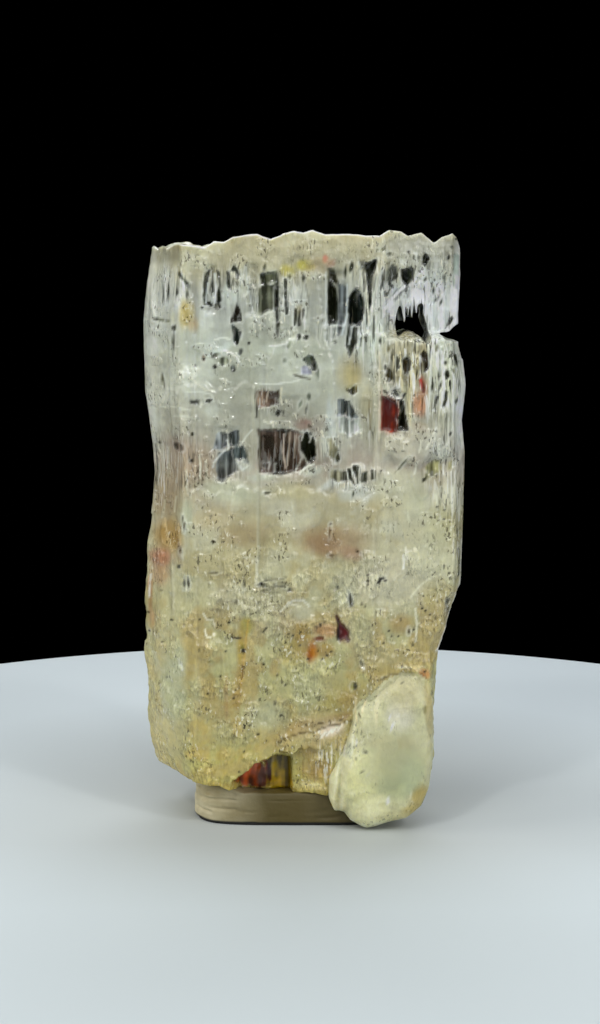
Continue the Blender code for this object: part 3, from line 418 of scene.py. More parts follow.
# Stains: u, v, half u, half v, tilt, colour, cover.
STAINS = (
    (287, 271.5, 8, 6, 12, "#c3bb62", 0.85), (302.5, 265.5, 7.5, 5, -8, "#c4bd5c", 0.9),
    (310, 268, 5, 4, 0, "#bcb468", 0.7), (325.5, 260.5, 3.6, 4.2, 0, "#c9705a", 0.95),
    (331, 264.5, 5.5, 3, -30, "#d09a7c", 0.75), (321, 266, 14, 8, 0, "#c3ac80", 0.45),
    (187, 313, 6.5, 15, 2, "#c0ae62", 0.85), (194, 325, 5, 8, 0, "#cab588", 0.75),
    (299, 309, 5, 7, 0, "#a89a5e", 0.6), (172, 320, 4, 8, 0, "#c9cbaf", 0.6),
    (151.5, 370, 5, 20, 0, "#a8a068", 0.8), (152, 395, 5, 9, 0, "#b0a878", 0.6),
    (405, 333, 23, 7, 0, "#8f865c", 0.85), (404, 349, 26, 10, 0, "#aba380", 0.7),
    (405, 370, 24, 18, 0, "#7c735a", 0.8), (350, 372, 14, 20, 0, "#c0b488", 0.7),
    (352, 375, 9, 12, 0, "#bbae78", 0.85), (351, 389, 6.5, 4.5, 0, "#8c8550", 0.7),
    (390.5, 413, 10.5, 18, 0, "#8e2a12", 1), (388, 405, 7, 10, 0, "#6a1206", 0.95),
    (391, 424, 8.5, 8, 0, "#ae4a24", 0.9), (381, 408, 1.3, 22, 0, "#d8a090", 0.7),
    (421.5, 385, 3.4, 9, -12, "#b04030", 0.9), (425.5, 390, 1.4, 9, 0, "#d8a890", 0.7),
    (420, 402, 6.5, 14, 4, "#ba6c44", 0.85), (412, 382, 5, 14, 0, "#a2946e", 0.6),
    (424, 350, 6, 16, 6, "#a09270", 0.6), (420, 427, 8, 5, 30, "#b09878", 0.55),
    (303, 421, 8.5, 7, 20, "#b8807a", 0.8), (305.5, 419, 3.4, 3, 0, "#a03c38", 0.8),
    (266, 397, 10, 8, 0, "#8e7560", 0.6), (268, 462, 11, 10, 15, "#7c5250", 0.7),
    (276, 445, 14, 12, 0, "#7a6c58", 0.65), (290, 410, 20, 16, 0, "#9a9484", 0.6),
    (318, 424, 10, 10, 0, "#a89a90", 0.5), (215, 490, 20, 22, 0, "#a89c84", 0.5),
    (340, 712, 20, 16, -20, "#98864e", 0.75), (355, 690, 22, 9, -20, "#94874e", 0.7),
    (322, 706, 22, 16, 0, "#9c985c", 0.6), (300, 728, 18, 7, -20, "#8e7038", 0.75),
    (330, 722, 26, 5, -18, "#8c6c3a", 0.6), (309, 752, 10, 8, 0, "#a88c3c", 0.8),
    (314, 770, 16, 12, 0, "#a0864c", 0.75), (345, 700, 10, 8, 0, "#a89458", 0.6),
    (275, 372, 80, 70, 0, "#a3a998", 0.45), (300, 450, 34, 34, 0, "#8c8578", 0.45),
    (228, 300, 34, 30, 0, "#a3a79e", 0.4), (340, 300, 26, 46, 0, "#9ba096", 0.45),
    (208, 470, 18, 14, 0, "#a8a394", 0.5), (272, 500, 20, 12, 0, "#a8a48a", 0.5),
    (272, 610, 26, 30, 0, "#a39f84", 0.45), (190, 470, 24, 32, 0, "#a8967c", 0.6),
    (178, 446, 12, 9, 20, "#978579", 0.55), (205, 470, 8, 22, 0, "#a09078", 0.55),
    (165, 500, 14, 24, 0, "#9c8668", 0.65), (168, 538, 16, 18, 0, "#a8843f", 0.75),
    (160, 560, 13, 10, 0, "#b0785c", 0.8), (159, 577, 11, 13, 0, "#b89474", 0.7),
    (180, 545, 4, 22, 0, "#8a6a3a", 0.6), (149, 590, 3, 9, 0, "#a86c34", 0.85),
    (149, 612, 2.6, 19, 0, "#8c4a1c", 0.9), (152.5, 622, 2.2, 9, 0, "#c88448", 0.8),
    (333, 540, 36, 18, 0, "#a08664", 0.7), (323, 545, 18, 10, 0, "#94785a", 0.6),
    (352, 553, 12, 7, 10, "#a08068", 0.6), (245, 535, 26, 12, -10, "#a89470", 0.5),
    (214, 520, 24, 12, 0, "#b4a274", 0.45), (247, 627, 6.5, 9, 0, "#aca24e", 0.85),
    (241.5, 650, 5, 22, 4, "#a08a3c", 0.8), (238, 690, 6, 26, 6, "#a68a48", 0.6),
    (226, 700, 4, 20, 0, "#a08252", 0.55), (243.5, 651, 3.6, 3.2, 0, "#6a6410", 0.9),
    (343.5, 633, 7.6, 9, -5, "#5c0e0c", 1), (338, 620, 2.4, 7, -32, "#7a1412", 0.95),
    (326, 629, 11, 7.5, 0, "#b08a5c", 0.8), (312, 650, 7.5, 11, 0, "#ac6c18", 0.95),
    (309, 655, 4, 6, 0, "#8c4a10", 0.85), (320, 638, 8, 2.6, 8, "#7c4416", 0.85),
    (325, 650, 9, 9, 0, "#9c7c30", 0.7), (300, 640, 10, 20, 0, "#9c8240", 0.65),
    (290, 652, 12, 14, 0, "#a09048", 0.55), (402, 625, 13, 11, 0, "#9c8450", 0.7),
    (429.5, 593, 6.5, 14, 0, "#b4a868", 0.75), (424, 674, 6.5, 6, 0, "#b87c44", 0.75),
    (419, 690, 8, 10, 0, "#b49c68", 0.5), (434, 468, 9, 9, 20, "#9a9560", 0.6),
    (451, 466, 3, 6, 0, "#a8a468", 0.6), (440, 530, 16, 26, 0, "#b6b37c", 0.5),
    (386, 512, 20, 14, 0, "#b5a775", 0.5), (290, 492, 26, 10, 0, "#b8b184", 0.5),
    (345, 498, 16, 8, 0, "#b4a878", 0.5), (380, 655, 30, 12, -10, "#b4ae84", 0.5),
    (330, 685, 26, 14, -10, "#a89c68", 0.5), (225, 770, 40, 8, -12, "#b4a062", 0.65),
    (165, 740, 10, 30, -10, "#b2a86c", 0.6), (290, 735, 30, 12, -30, "#b09c64", 0.55),
)

# Where tall fibres show between the veils: u, v, half u, half v, tilt, strength.
FIBROUS = (
    (164, 286, 12, 20, 2, 0.6), (181, 283, 9, 16, -20, 0.6), (212, 286, 13, 20, 0, 0.6),
    (236, 283, 13, 22, -5, 0.5), (252, 298, 7, 24, -10, 0.6), (291, 288, 12, 26, 0, 0.6),
    (300, 316, 8, 9, 0, 0.9), (330, 332, 14, 12, 0, 0.5), (364, 296, 13, 34, -6, 0.9),
    (385, 285, 11, 26, 5, 0.9), (398, 316, 24, 14, 30, 0.8), (430, 280, 30, 36, 0, 0.5),
    (446, 320, 16, 14, 30, 0.5), (424, 370, 40, 44, 0, 1), (372, 350, 18, 24, 20, 0.5),
    (266, 400, 12, 12, 0, 0.9), (184, 465, 20, 30, 0, 0.5), (286, 452, 28, 24, 0, 0.6),
    (354, 478, 28, 11, -10, 0.9), (330, 450, 13, 20, 0, 0.5), (392, 415, 14, 18, 0, 0.8),
    (372, 420, 8, 30, 0, 0.5), (440, 470, 18, 26, 10, 0.5), (457, 500, 8, 76, 0, 0.6),
    (158, 470, 12, 36, 0, 0.7), (350, 420, 14, 20, 10, 0.3), (330, 762, 18, 22, 0, 0.6),
    (230, 458, 18, 28, 0, 0.4), (440, 380, 26, 44, 0, 1), (446, 470, 16, 50, 0, 0.7),
    (410, 300, 34, 40, 20, 0.85), (366, 330, 20, 34, 10, 0.8),
)

# Where the surface is etched into short pits and chips, in the same order.
ETCHED = (
    (219, 716, 15, 13, 0, 0.7), (252, 724, 22, 18, -10, 1), (158, 725, 6, 25, 0, 0.6),
    (195, 748, 12, 8, 0, 0.5), (298, 741, 22, 10, -30, 1), (350, 712, 28, 16, -25, 1),
    (312, 702, 22, 14, 0, 0.8), (355, 690, 9, 8, 0, 1), (235, 698, 20, 12, 0, 0.7),
    (298, 642, 24, 20, 0, 0.9), (326, 653, 14, 7, 0, 1), (240, 612, 30, 14, 0, 0.5),
    (272, 602, 26, 14, 0, 0.6), (222, 628, 30, 12, 0, 0.5), (212, 588, 22, 8, 0, 0.4),
    (430, 612, 22, 26, 0, 0.6), (404, 640, 16, 10, 0, 0.5), (446, 582, 9, 26, 0, 0.8),
    (262, 680, 40, 24, 0, 0.4), (302, 787, 12, 8, 0, 0.7), (200, 766, 30, 9, -12, 0.5),
    (380, 640, 12, 10, 0, 0.5), (360, 655, 26, 14, 0, 0.4), (400, 575, 30, 8, 0, 0.1),
    (345, 605, 26, 16, 0, 0.4), (360, 578, 16, 10, 0, 0.5), (300, 560, 60, 8, 0, 0.2),
    (300, 255, 150, 14, 0, 0.25), (332, 730, 36, 13, -22, 1), (392, 560, 44, 44, 0, 0.4),
    (442, 540, 20, 50, 0, 0.5), (350, 705, 30, 22, -25, 1),
)

# The same for the lobe, with painted glints and painted edge highlights among its patches.
LOBE_PATCHES_AND_GLINTS = (
    (396, 764, 31, 32, 0, "#a9aa86", 0.9), (396, 788, 24, 13, 0, "#a5aa84", 0.8),
    (412, 775, 14, 18, 0, "#aab292", 0.6), (392, 742, 26, 7, 0, "#b2ad86", 0.7),
    (400, 716, 14, 14, 20, "#cac8b4", 0.9), (406, 690, 20, 22, 0, "#b3ac84", 0.75),
    (429, 706, 5, 30, 0, "#b4a674", 0.75), (430, 770, 5, 30, 0, "#c2bf98", 0.7),
    (351, 738, 5, 26, 4, "#cfcba8", 0.85), (350.6, 750, 4, 9, 0, "#a8ae9a", 0.8),
    (360, 786, 16, 27, 0, "#cfcd9c", 0.9), (367, 815, 20, 15, 0, "#d6d4ac", 0.9),
    (333.5, 787, 4, 28, 0, "#dcd6ae", 0.9), (336, 798, 1.6, 14, 0, "#97915e", 0.7),
    (419, 797, 9, 13, 30, "#b09c54", 0.9), (408, 811, 12, 5, -25, "#bcab66", 0.85),
    (392, 817, 18, 7, 0, "#d2cca0", 0.8), (384, 690, 10, 12, 30, "#bdb892", 0.6),
    # The near-white spots on the next four lines are painted glints and painted highlights on edges.
    (389.7, 716.3, 1.8, 1.6, 0, "#f4f4e8", 0.9), (391.4, 726, 1.7, 1.7, 0, "#f4f4e8", 0.9),
    (387.4, 802.5, 2.2, 2.8, 0, "#f4f4e0", 0.9), (365.5, 777, 2, 2, 0, "#e8e8cc", 0.8),
    (352, 793, 3.6, 2.4, 0, "#dedcb4", 0.7), (421.3, 806, 1.6, 2, 0, "#f0eed8", 0.9),
    (362.6, 827, 4, 2, 20, "#e0e0bc", 0.8), (410.2, 795.5, 1, 5, 8, "#e6e2c0", 0.85),
    (365.7, 752.5, 1.3, 1.3, 0, "#1c1c12", 0.95), (357.5, 758.3, 1, 1, 0, "#3c3c28", 0.9),
    (401.7, 684.2, 2, 1.1, 0, "#5a5638", 0.85), (424.7, 710.6, 1.6, 4.4, 0, "#7c7444", 0.85),
    # The thin pale streaks here, along the lobe's left and lower edges, are painted highlights.
    (425, 671.5, 6, 5, 0, "#c07a38", 0.85), (345.8, 750, 1.2, 8, 2, "#f2ecc8", 0.85),
    (357.4, 742, 1.2, 6, 0, "#eae8d0", 0.8), (340, 806, 6, 5, 0, "#d4cca4", 0.8),
    (349, 822, 3, 9, -50, "#efe8ca", 0.85), (377, 706, 2, 18, 4, "#d8d2b0", 0.8),
    (341, 795, 1.4, 22, 3, "#e6e0bc", 0.8), (380, 800, 7, 2.6, -10, "#dcd8b0", 0.7),
    (374, 826, 12, 3, -14, "#e2ddb8", 0.8),
)

# Pale patches, where the veils are thickest, and first two of painted light that evens the lower left bevel
# with the front: u, v, half u, half v, tilt, colour, cover.
PALE = (
    (158, 650, 22, 60, 0, "#c0ba90", 0.6), (160, 735, 22, 44, 0, "#c0b684", 0.7),
    (390, 820, 24, 8, 0, "#d0cca0", 0.5), (459, 385, 8, 80, 0, "#e2e6de", 0.6),
    (459, 280, 6, 40, 0, "#e8ece8", 0.5), (412, 560, 26, 26, 0, "#d4d0b2", 0.6),
    (232, 298, 7, 9, 15, "#cfd6cc", 0.9), (224.5, 290, 2.6, 16, 12, "#c9d0c6", 0.85),
    (243, 282, 3.5, 16, -3, "#bcc0ae", 0.7), (250, 300, 3.5, 20, -12, "#b9bcaa", 0.65),
    (215, 345, 16, 12, 0, "#c4cbc2", 0.7), (222, 349, 14, 3, -25, "#d4dcd2", 0.7),
    (171, 338, 5, 12, 0, "#c6cbbd", 0.6), (163, 290, 8, 24, 0, "#bfc4bc", 0.55),
    (196, 345, 14, 20, 0, "#b9beae", 0.5), (272, 348, 12, 5, 0, "#c6cdbf", 0.7),
    (265, 325, 10, 9, 0, "#b9bdae", 0.75), (318, 300, 7, 28, 0, "#b5b8aa", 0.65),
    (304.8, 322, 1.6, 6, 0, "#e2e8dd", 0.9), (343, 302, 4, 22, 2, "#868d8d", 0.85),
    (343, 325, 5, 10, 8, "#a4aaa8", 0.8), (362, 285, 2.6, 28, -8, "#c0c4ae", 0.85),
    (366, 305, 1.8, 16, -12, "#c0c4ae", 0.85), (369.5, 283, 1.4, 5, 0, "#c9ccc8", 0.8),
    (374, 292, 1.3, 17, 10, "#ccd2c9", 0.8), (380, 285, 1.3, 18, 9, "#c2c6b9", 0.75),
    (403, 263, 3.2, 3.2, 0, "#f0f4ea", 0.95), (398, 297, 22, 6.5, 44, "#d3dad6", 0.85),
    (416, 290, 14, 8, 30, "#cfd8d6", 0.8), (432, 285, 12, 22, 0, "#c0c9c4", 0.6),
    (431, 318, 7, 16, 0, "#c4ccc6", 0.65), (444, 306, 9, 22, 20, "#c3ccc9", 0.65),
    (446, 320, 2, 14, 32, "#e4ecea", 0.8), (380, 330, 10, 14, 20, "#c0c8bb", 0.7),
    (372, 345, 14, 16, 25, "#b8bfae", 0.6), (213, 409, 9.5, 7, -15, "#cdd3c6", 0.8),
    (245, 464, 8, 7, 0, "#c3c8bb", 0.75), (248, 445, 7, 22, 0, "#b3b29c", 0.55),
    (331, 416, 5.5, 20, -3, "#bec5be", 0.85), (326, 440, 5, 18, 4, "#b6bbae", 0.6),
    (378, 397, 2.6, 48, 0, "#bdbca2", 0.75), (367, 400, 7, 22, 0, "#b3ac84", 0.6),
    (372, 430, 10, 18, 0, "#b6b69e", 0.55), (409, 405, 3.2, 19, -8, "#b8b698", 0.8),
    (446, 365, 14, 34, 0, "#b4bdac", 0.6), (433, 378, 3.4, 18, 0, "#c3cabb", 0.75),
    (443, 448, 11, 11, 0, "#c6c9bb", 0.8), (440, 420, 12, 12, 0, "#b4b49e", 0.55),
    (428, 443, 2, 13, 28, "#d2d2bd", 0.6), (187.5, 518, 4.6, 18, 0, "#b9bda4", 0.85),
    (228, 492, 34, 12, 6, "#bcc0a8", 0.75), (262, 477, 16, 4, -4, "#c2c6b4", 0.75),
    (312, 470, 12, 5, -22, "#c6cabb", 0.85), (338, 479, 24, 4.6, -26, "#ccd0c6", 0.85),
    (352, 492, 16, 8, -20, "#c4c8bd", 0.8), (366, 494, 10, 7, 0, "#c0c3b8", 0.7),
    (385, 490, 16, 12, 0, "#b6b79c", 0.5), (415, 500, 14, 20, 0, "#b3b594", 0.5),
    (392, 530, 16, 8, 35, "#bebea8", 0.65), (303, 610, 14, 10, 0, "#c4c3a8", 0.75),
    (352, 572, 30, 8, 0, "#bbb792", 0.5), (240, 600, 30, 14, 0, "#aeaa8a", 0.5),
    (222, 560, 30, 10, 0, "#b6b08a", 0.5), (197, 690, 6, 24, 0, "#bdbb94", 0.5),
    (176, 705, 12, 18, 0, "#a9ab84", 0.55), (320, 735, 26, 26, 0, "#b7a87c", 0.6),
    (398, 704, 34, 10, 30, "#bdb995", 0.6), (151, 345, 6, 120, 0, "#dde1d6", 0.8),
    (163, 300, 12, 44, 0, "#ccd1c6", 0.6), (432, 300, 30, 34, 0, "#dfe5e0", 0.7),
    (396, 300, 20, 24, 30, "#d6dcd4", 0.65), (459, 270, 5, 34, 0, "#e6eae6", 0.7),
    (452, 300, 8, 24, 0, "#e0e6e2", 0.6), (400, 447, 24, 16, 0, "#cdcbb6", 0.7),
    (404, 480, 24, 16, 0, "#cfcfb6", 0.7), (402, 515, 26, 22, 0, "#cbcbb2", 0.6),
    (416, 432, 24, 10, 0, "#c8c4b0", 0.6), (331, 732, 13, 7, -20, "#dccdb8", 0.85),
    (360, 711, 5, 12, 10, "#d2c496", 0.85), (312, 787, 14, 5, 0, "#d0c48c", 0.8),
    (390, 585, 44, 26, 0, "#c6c2a8", 0.75), (432, 550, 26, 34, 0, "#c8c8ac", 0.7),
    (172, 690, 14, 30, 0, "#b0b494", 0.75), (265, 715, 20, 16, 0, "#adb294", 0.65),
    (360, 630, 14, 22, 0, "#b0b290", 0.6), (310, 690, 16, 20, 0, "#b2b48e", 0.55),
    (180, 662, 8, 18, 0, "#b8bc9c", 0.6), (228, 592, 18, 12, 0, "#b8b496", 0.6),
    (345, 590, 12, 26, 0, "#b6b598", 0.6), (250, 425, 56, 40, 0, "#a6a594", 0.4),
    (425, 376, 38, 38, 0, "#b0ac86", 0.4), (425, 250, 44, 24, 0, "#c6c9be", 0.65),
    (266, 447, 8, 12, 0, "#a89a88", 0.6), (345, 760, 5, 14, 0, "#c2a888", 0.7),
    (334, 318, 9, 26, 0, "#7c8280", 0.5),
)

# Fine lines: half width, colour, cover, then u and v of each point that it passes.
# The pale lines along the right outline, at u 459 to 464, and along the left outline at u 147 are painted rim
# highlights.
LINES = (
    (0.9, "#e0e6e0", 0.85, (163.5, 275, 164.5, 292, 165.8, 306)), (0.8, "#dfe6df", 0.8, (207.6, 283,
     206.2, 298, 205.6, 303)), (1, "#e4ebe4", 0.9, (214.6, 274, 216, 290, 213.6, 305)), (0.9, "#d8dfd8", 0.8,
     (213, 293, 211.5, 303)), (0.9, "#ccd2cc", 0.75, (245.5, 266, 247.5, 284, 253, 312, 256, 322)),
    (0.8, "#c6cbc2", 0.7, (236, 300, 240.5, 283, 241, 270)), (0.9, "#8c8f80", 0.6, (249, 285, 256, 318,
     258, 338)), (0.9, "#c9cec4", 0.7, (291.5, 280, 292.5, 305, 293, 330)), (0.8, "#7c7e70", 0.6,
     (305.5, 285, 309, 300, 306.5, 318)), (0.9, "#d6dbd2", 0.7, (325.8, 272, 326.5, 300, 326, 328)),
    (0.8, "#c9d4d4", 0.6, (347.2, 285, 347, 315, 342, 335)), (1.1, "#d9dccb", 0.85, (358.5, 262, 363, 285,
     366.5, 303, 368.8, 318)), (0.9, "#d6dccf", 0.8, (377.5, 276, 374, 294, 371.3, 311)),
    (0.8, "#c8cfc6", 0.75, (382, 270, 379.5, 288, 377.8, 304)), (0.9, "#dfe6e0", 0.8, (352, 327, 351, 336,
     349, 344)), (0.9, "#dce4de", 0.8, (361.5, 330, 359.5, 341, 357, 349)), (1, "#e0e8e0", 0.8, (364, 316,
     366.5, 326, 369.5, 335)), (1, "#d8e0d6", 0.75, (369.5, 320, 372, 335, 371, 350)), (0.9, "#cfd8ce", 0.7,
     (376, 330, 373.5, 348, 371, 362)), (1.1, "#edf3f0", 0.85, (385, 309, 391.5, 299, 399, 291, 404.5, 286)),
    (1.2, "#f3f8f5", 0.9, (412, 291, 416.5, 286, 418.5, 296)), (1, "#e4ece8", 0.8, (421, 268, 424.5, 275,
     420, 284)), (0.9, "#e0e8e4", 0.75, (428, 302, 429.5, 315, 430.5, 330)), (0.8, "#dde6e3", 0.7,
     (433.5, 303, 432.5, 316, 434, 328)), (1, "#eef4f2", 0.85, (447, 330, 453, 323, 459, 318)),
    (0.9, "#dfe7e4", 0.75, (456, 290, 458, 305, 457, 318)), (0.9, "#ccd3cc", 0.75, (459.5, 244, 463.5, 262,
     463, 290, 461.5, 318)), (0.8, "#d0d0c0", 0.7, (388, 385, 396, 389, 400.5, 396)), (0.9, "#d4d4c6", 0.8,
     (389.5, 388, 398, 398, 402, 392, 399, 384)), (0.9, "#c9c9a8", 0.7, (380.4, 353, 380.6, 400, 380, 438)),
    (0.8, "#dadfd0", 0.6, (427.5, 338, 430, 372, 431, 398)), (0.8, "#d8ddcc", 0.6, (437, 352, 436, 372)),
    (0.8, "#e2e2d0", 0.7, (421, 441, 420, 449, 419, 452)), (0.9, "#e4e4d4", 0.7, (436.5, 427, 431, 440,
     426, 449)), (0.8, "#6e6f58", 0.6, (406, 460, 399, 469)), (0.9, "#e6e8d8", 0.7, (417, 462, 414.5, 474)),
    (0.8, "#e0e2cc", 0.65, (436, 495, 438, 510)), (0.8, "#e0e2c8", 0.6, (407.5, 512, 409, 522)),
    (0.9, "#d8dcd6", 0.85, (216, 460, 222, 453, 229, 448, 227, 440)), (0.8, "#d4d8d0", 0.8, (213, 467,
     215.5, 459)), (0.9, "#d0d4c8", 0.75, (239, 447, 246, 437, 252, 430)), (1, "#dadfd4", 0.8, (237, 462,
     242, 470, 248, 466)), (0.8, "#dcdcc8", 0.8, (199.4, 455, 200.5, 466, 200, 478)), (0.8, "#c8c6b0", 0.65,
     (186.5, 470, 187, 490)), (0.8, "#cac8b2", 0.65, (206, 462, 207, 484)), (0.8, "#c0bda6", 0.6, (168, 448,
     167.5, 478)), (0.8, "#d0d0bc", 0.6, (186, 486, 191, 498)), (0.8, "#cfcdb4", 0.6, (176, 497, 174, 512)),
    (0.8, "#cccab0", 0.6, (164, 502, 161, 520)), (0.8, "#e2cfa0", 0.6, (164, 520, 167, 540, 172, 552)),
    (0.8, "#e0cc9c", 0.6, (178, 525, 180.5, 545)), (0.9, "#d6d4bc", 0.75, (281.5, 388, 280.5, 398,
     282, 404)), (0.8, "#c9bda8", 0.7, (268, 392, 266, 402)), (0.8, "#c0b09a", 0.7, (262, 390, 262.5, 402)),
    (0.9, "#e0e0cc", 0.75, (264, 421, 270, 424, 273, 422)), (0.8, "#cdbfae", 0.8, (284, 434, 283, 452,
     285.5, 468)), (0.8, "#b8ab98", 0.7, (290, 432, 289, 450, 287.5, 465)), (0.8, "#a89e8c", 0.6,
     (295.5, 436, 294.5, 458)), (0.8, "#dcdcd0", 0.8, (301.5, 440, 304, 432, 308, 431, 310, 438)),
    (0.8, "#d8d8cc", 0.8, (309.5, 442, 313, 434, 316, 441)), (0.8, "#b9bbac", 0.6, (296, 470, 303.5, 455,
     309, 466)), (0.9, "#d6dacc", 0.75, (300, 473, 306, 467, 314, 464)), (0.8, "#c4c9c0", 0.65, (336, 436,
     334, 420, 335, 402)), (0.8, "#8e938a", 0.6, (346, 424, 347.5, 438)), (0.8, "#c8ccba", 0.6, (360, 424,
     362, 438)), (1, "#c4c6b0", 0.4, (257.7, 470, 257.9, 520, 257.6, 575)), (0.8, "#96937a", 0.4,
     (259.6, 395, 259.4, 480, 259.2, 560)), (0.8, "#989478", 0.5, (170.4, 556, 171, 616)),
    (0.8, "#d0cdb0", 0.55, (172.6, 556, 173, 616)), (0.8, "#7c7a62", 0.5, (259.5, 586, 275, 586.5,
     288, 585)), (0.8, "#7a785e", 0.5, (262, 591, 278, 592, 291, 590)), (0.9, "#e0e0cc", 0.55, (190, 378,
     206, 390, 214, 391)), (0.8, "#5a584a", 0.65, (294, 375, 300, 377, 310, 379)), (0.9, "#d6d4b4", 0.65,
     (397.6, 667, 403, 668, 410.6, 668)), (0.8, "#6e6442", 0.6, (380, 680, 390, 675, 399, 674, 410, 667)),
    (1, "#e2e2cc", 0.7, (415.5, 609, 417, 625, 416, 642)), (0.9, "#e6e6d0", 0.6, (203, 613, 207, 620,
     212, 620)), (0.9, "#e8eadc", 0.75, (180.5, 664, 182, 671)), (1, "#e0e2d8", 0.6, (287, 604, 295, 600,
     303, 600, 309, 606)), (0.9, "#c4a24a", 0.55, (248.5, 620, 246, 640, 244, 660, 241, 685)),
    (1.5, "#14110b", 0.9, (384.3, 391, 391, 395.5, 400.4, 400.7, 405, 394)), (0.9, "#e6e4d8", 0.9,
     (388.9, 393.4, 395, 397.6, 400.8, 398.8)), (0.9, "#dcdacc", 0.9, (390, 392.7, 395.8, 384.4,
     401.6, 397.6)), (0.8, "#d6d2c0", 0.8, (385.4, 382.6, 394.6, 383.4)), (1, "#dcd8c4", 0.8, (379.4, 352,
     379, 400, 378.6, 440)), (0.9, "#d8d0a8", 0.8, (400, 352, 401, 372, 402.4, 392)), (0.9, "#d6cea6", 0.75,
     (413.6, 352, 412, 372, 409.4, 392, 410.2, 425)), (0.8, "#d8d2b0", 0.75, (393.6, 352, 393.8, 366,
     397.4, 384)), (0.8, "#cfc69c", 0.75, (417.4, 356, 416.6, 376)), (0.9, "#e4e8dc", 0.85, (431, 340,
     431.2, 372, 429, 406)), (0.9, "#e0e6dc", 0.75, (441, 345, 441.4, 362, 439.6, 374)),
    (0.9, "#dfe4d8", 0.75, (450.4, 346, 451, 356, 449.4, 366)), (0.9, "#e4e8dc", 0.75, (451.6, 372,
     456.6, 382, 458.4, 394)), (1.3, "#f4f8f4", 0.9, (386, 309, 391.5, 300, 399, 292, 405.5, 286)),
    (1, "#f0f4f0", 0.9, (411.8, 284.8, 417, 277, 423.3, 268.7)), (1, "#f0f4f2", 0.9, (463.2, 250, 463.2, 280,
     461.6, 300, 461, 318)), (1.1, "#f0f4f0", 0.9, (460.8, 318, 454, 326, 447, 332)), (0.9, "#e8ece6", 0.8,
     (425, 305, 428, 318, 430, 333)), (0.8, "#30332a", 0.8, (414, 331, 417, 337, 419.6, 342)),
    # The two dark lines that follow the slanting ledge are painted shade under its edge.
    (0.9, "#5c4c20", 0.8, (300, 733.4, 312.6, 733.2, 323, 727.6, 337, 724.6, 351.7, 721.6)),
    (0.9, "#5e4a22", 0.75, (276, 743, 288, 737, 300, 733.4)), (0.9, "#dcd0a4", 0.75, (319.4, 747,
     319.8, 758)), (0.8, "#6e5a2c", 0.7, (328.8, 760, 328.4, 778)), (0.8, "#7c6838", 0.6, (303, 760,
     303.6, 778)), (0.9, "#5c3c14", 0.75, (242.8, 666, 242.5, 678)), (1, "#2a281c", 0.85, (263, 632,
     266.6, 627.6)), (0.9, "#3a1c14", 0.8, (232.2, 637.2, 236, 638.6, 240.9, 637.8)), (0.9, "#3c3a28", 0.75,
     (265.2, 688, 267.8, 695)), (0.8, "#e6e4cc", 0.9, (205, 630, 205.8, 634.6, 208, 637.6, 210.4, 637)),
    (0.8, "#dcd8bc", 0.8, (212.6, 619.5, 215.2, 626.5)), (0.8, "#e0e2c8", 0.75, (178.4, 660, 180.2, 668,
     182.4, 669.4)), (0.9, "#dcdac2", 0.8, (281, 611, 286, 606, 294, 604.5, 300, 607)), (0.8, "#d4d2b8", 0.7,
     (244, 557.5, 256.6, 559, 256.4, 584)), (0.7, "#6e6c54", 0.6, (271, 580, 286, 577.6)),
    (0.7, "#6e6c54", 0.6, (273, 584, 287, 582.6)), (0.9, "#8e8464", 0.6, (211, 573, 228, 575.5)),
    (0.8, "#f4f4e4", 0.9, (403.2, 555, 404, 562, 403.4, 569)), (0.8, "#eceada", 0.8, (405.4, 548,
     406.8, 560)), (0.9, "#dedcc0", 0.8, (411, 597, 420, 586, 430, 578, 440, 575)), (0.8, "#d8d6ba", 0.7,
     (437, 582, 438.4, 592, 436.6, 601)), (0.8, "#343526", 0.9, (458.8, 548, 459.4, 566, 458.8, 576)),
    # The next pale lines, along the lower right outline, are painted rim highlights.
    (0.9, "#e4e6d8", 0.9, (462, 540, 462.2, 566, 460, 586, 455.4, 600, 449.4, 616)), (0.8, "#e8e8dc", 0.8,
     (449.4, 616, 446.4, 628, 441, 644, 437, 652)), (0.8, "#1e1d14", 0.9, (447, 598, 447.6, 606,
     448.8, 613)), (0.8, "#e2e4dc", 0.85, (147, 600, 147.4, 585, 149, 578)), (0.8, "#f0f2e8", 0.8,
     (224, 350.5, 230, 352, 236.5, 357, 239.4, 362)), (0.8, "#e8ece2", 0.7, (214, 340, 222, 337.6,
     230, 339)), (0.9, "#eceee6", 0.8, (270, 346, 277.5, 345.4, 285.4, 344.2)), (0.8, "#dfe3d8", 0.65,
     (259, 383.5, 275, 384, 292, 382, 300, 379.6)), (0.8, "#e4e8dc", 0.65, (166, 388.6, 175, 389.4)),
    (0.8, "#e0e4d8", 0.6, (186, 392.4, 200, 391.6, 212, 394.6, 214, 402)), (0.8, "#dee2d4", 0.6,
     (155.6, 407.6, 172, 407, 190, 410)), (0.8, "#d8dcce", 0.55, (174, 416, 188, 416.6, 200, 421)),
    (0.9, "#f0e6d6", 0.85, (320.6, 738, 326, 731.6)), (0.9, "#efe4d4", 0.85, (326, 736, 332, 729)),
    (0.9, "#efe6d2", 0.85, (331.6, 733, 337, 726.6)), (0.8, "#ece2cc", 0.8, (337, 731, 342, 725)),
    (0.9, "#dccfa0", 0.85, (355.6, 698, 355.4, 712, 357, 722)), (0.9, "#e2d8ae", 0.8, (366, 700, 362, 712)),
    (0.8, "#544626", 0.85, (318, 722.4, 323, 724)), (1, "#4a3c1e", 0.85, (329.6, 721, 330.6, 723.4)),
    (0.9, "#4a4024", 0.8, (339.6, 719.6, 344.6, 721.4)), (0.9, "#54481f", 0.8, (358.6, 713.6, 360, 716.6)),
    (0.9, "#ded2a0", 0.75, (302.6, 783, 309, 787.4, 317, 784.6, 323, 789.4, 328.4, 790)),
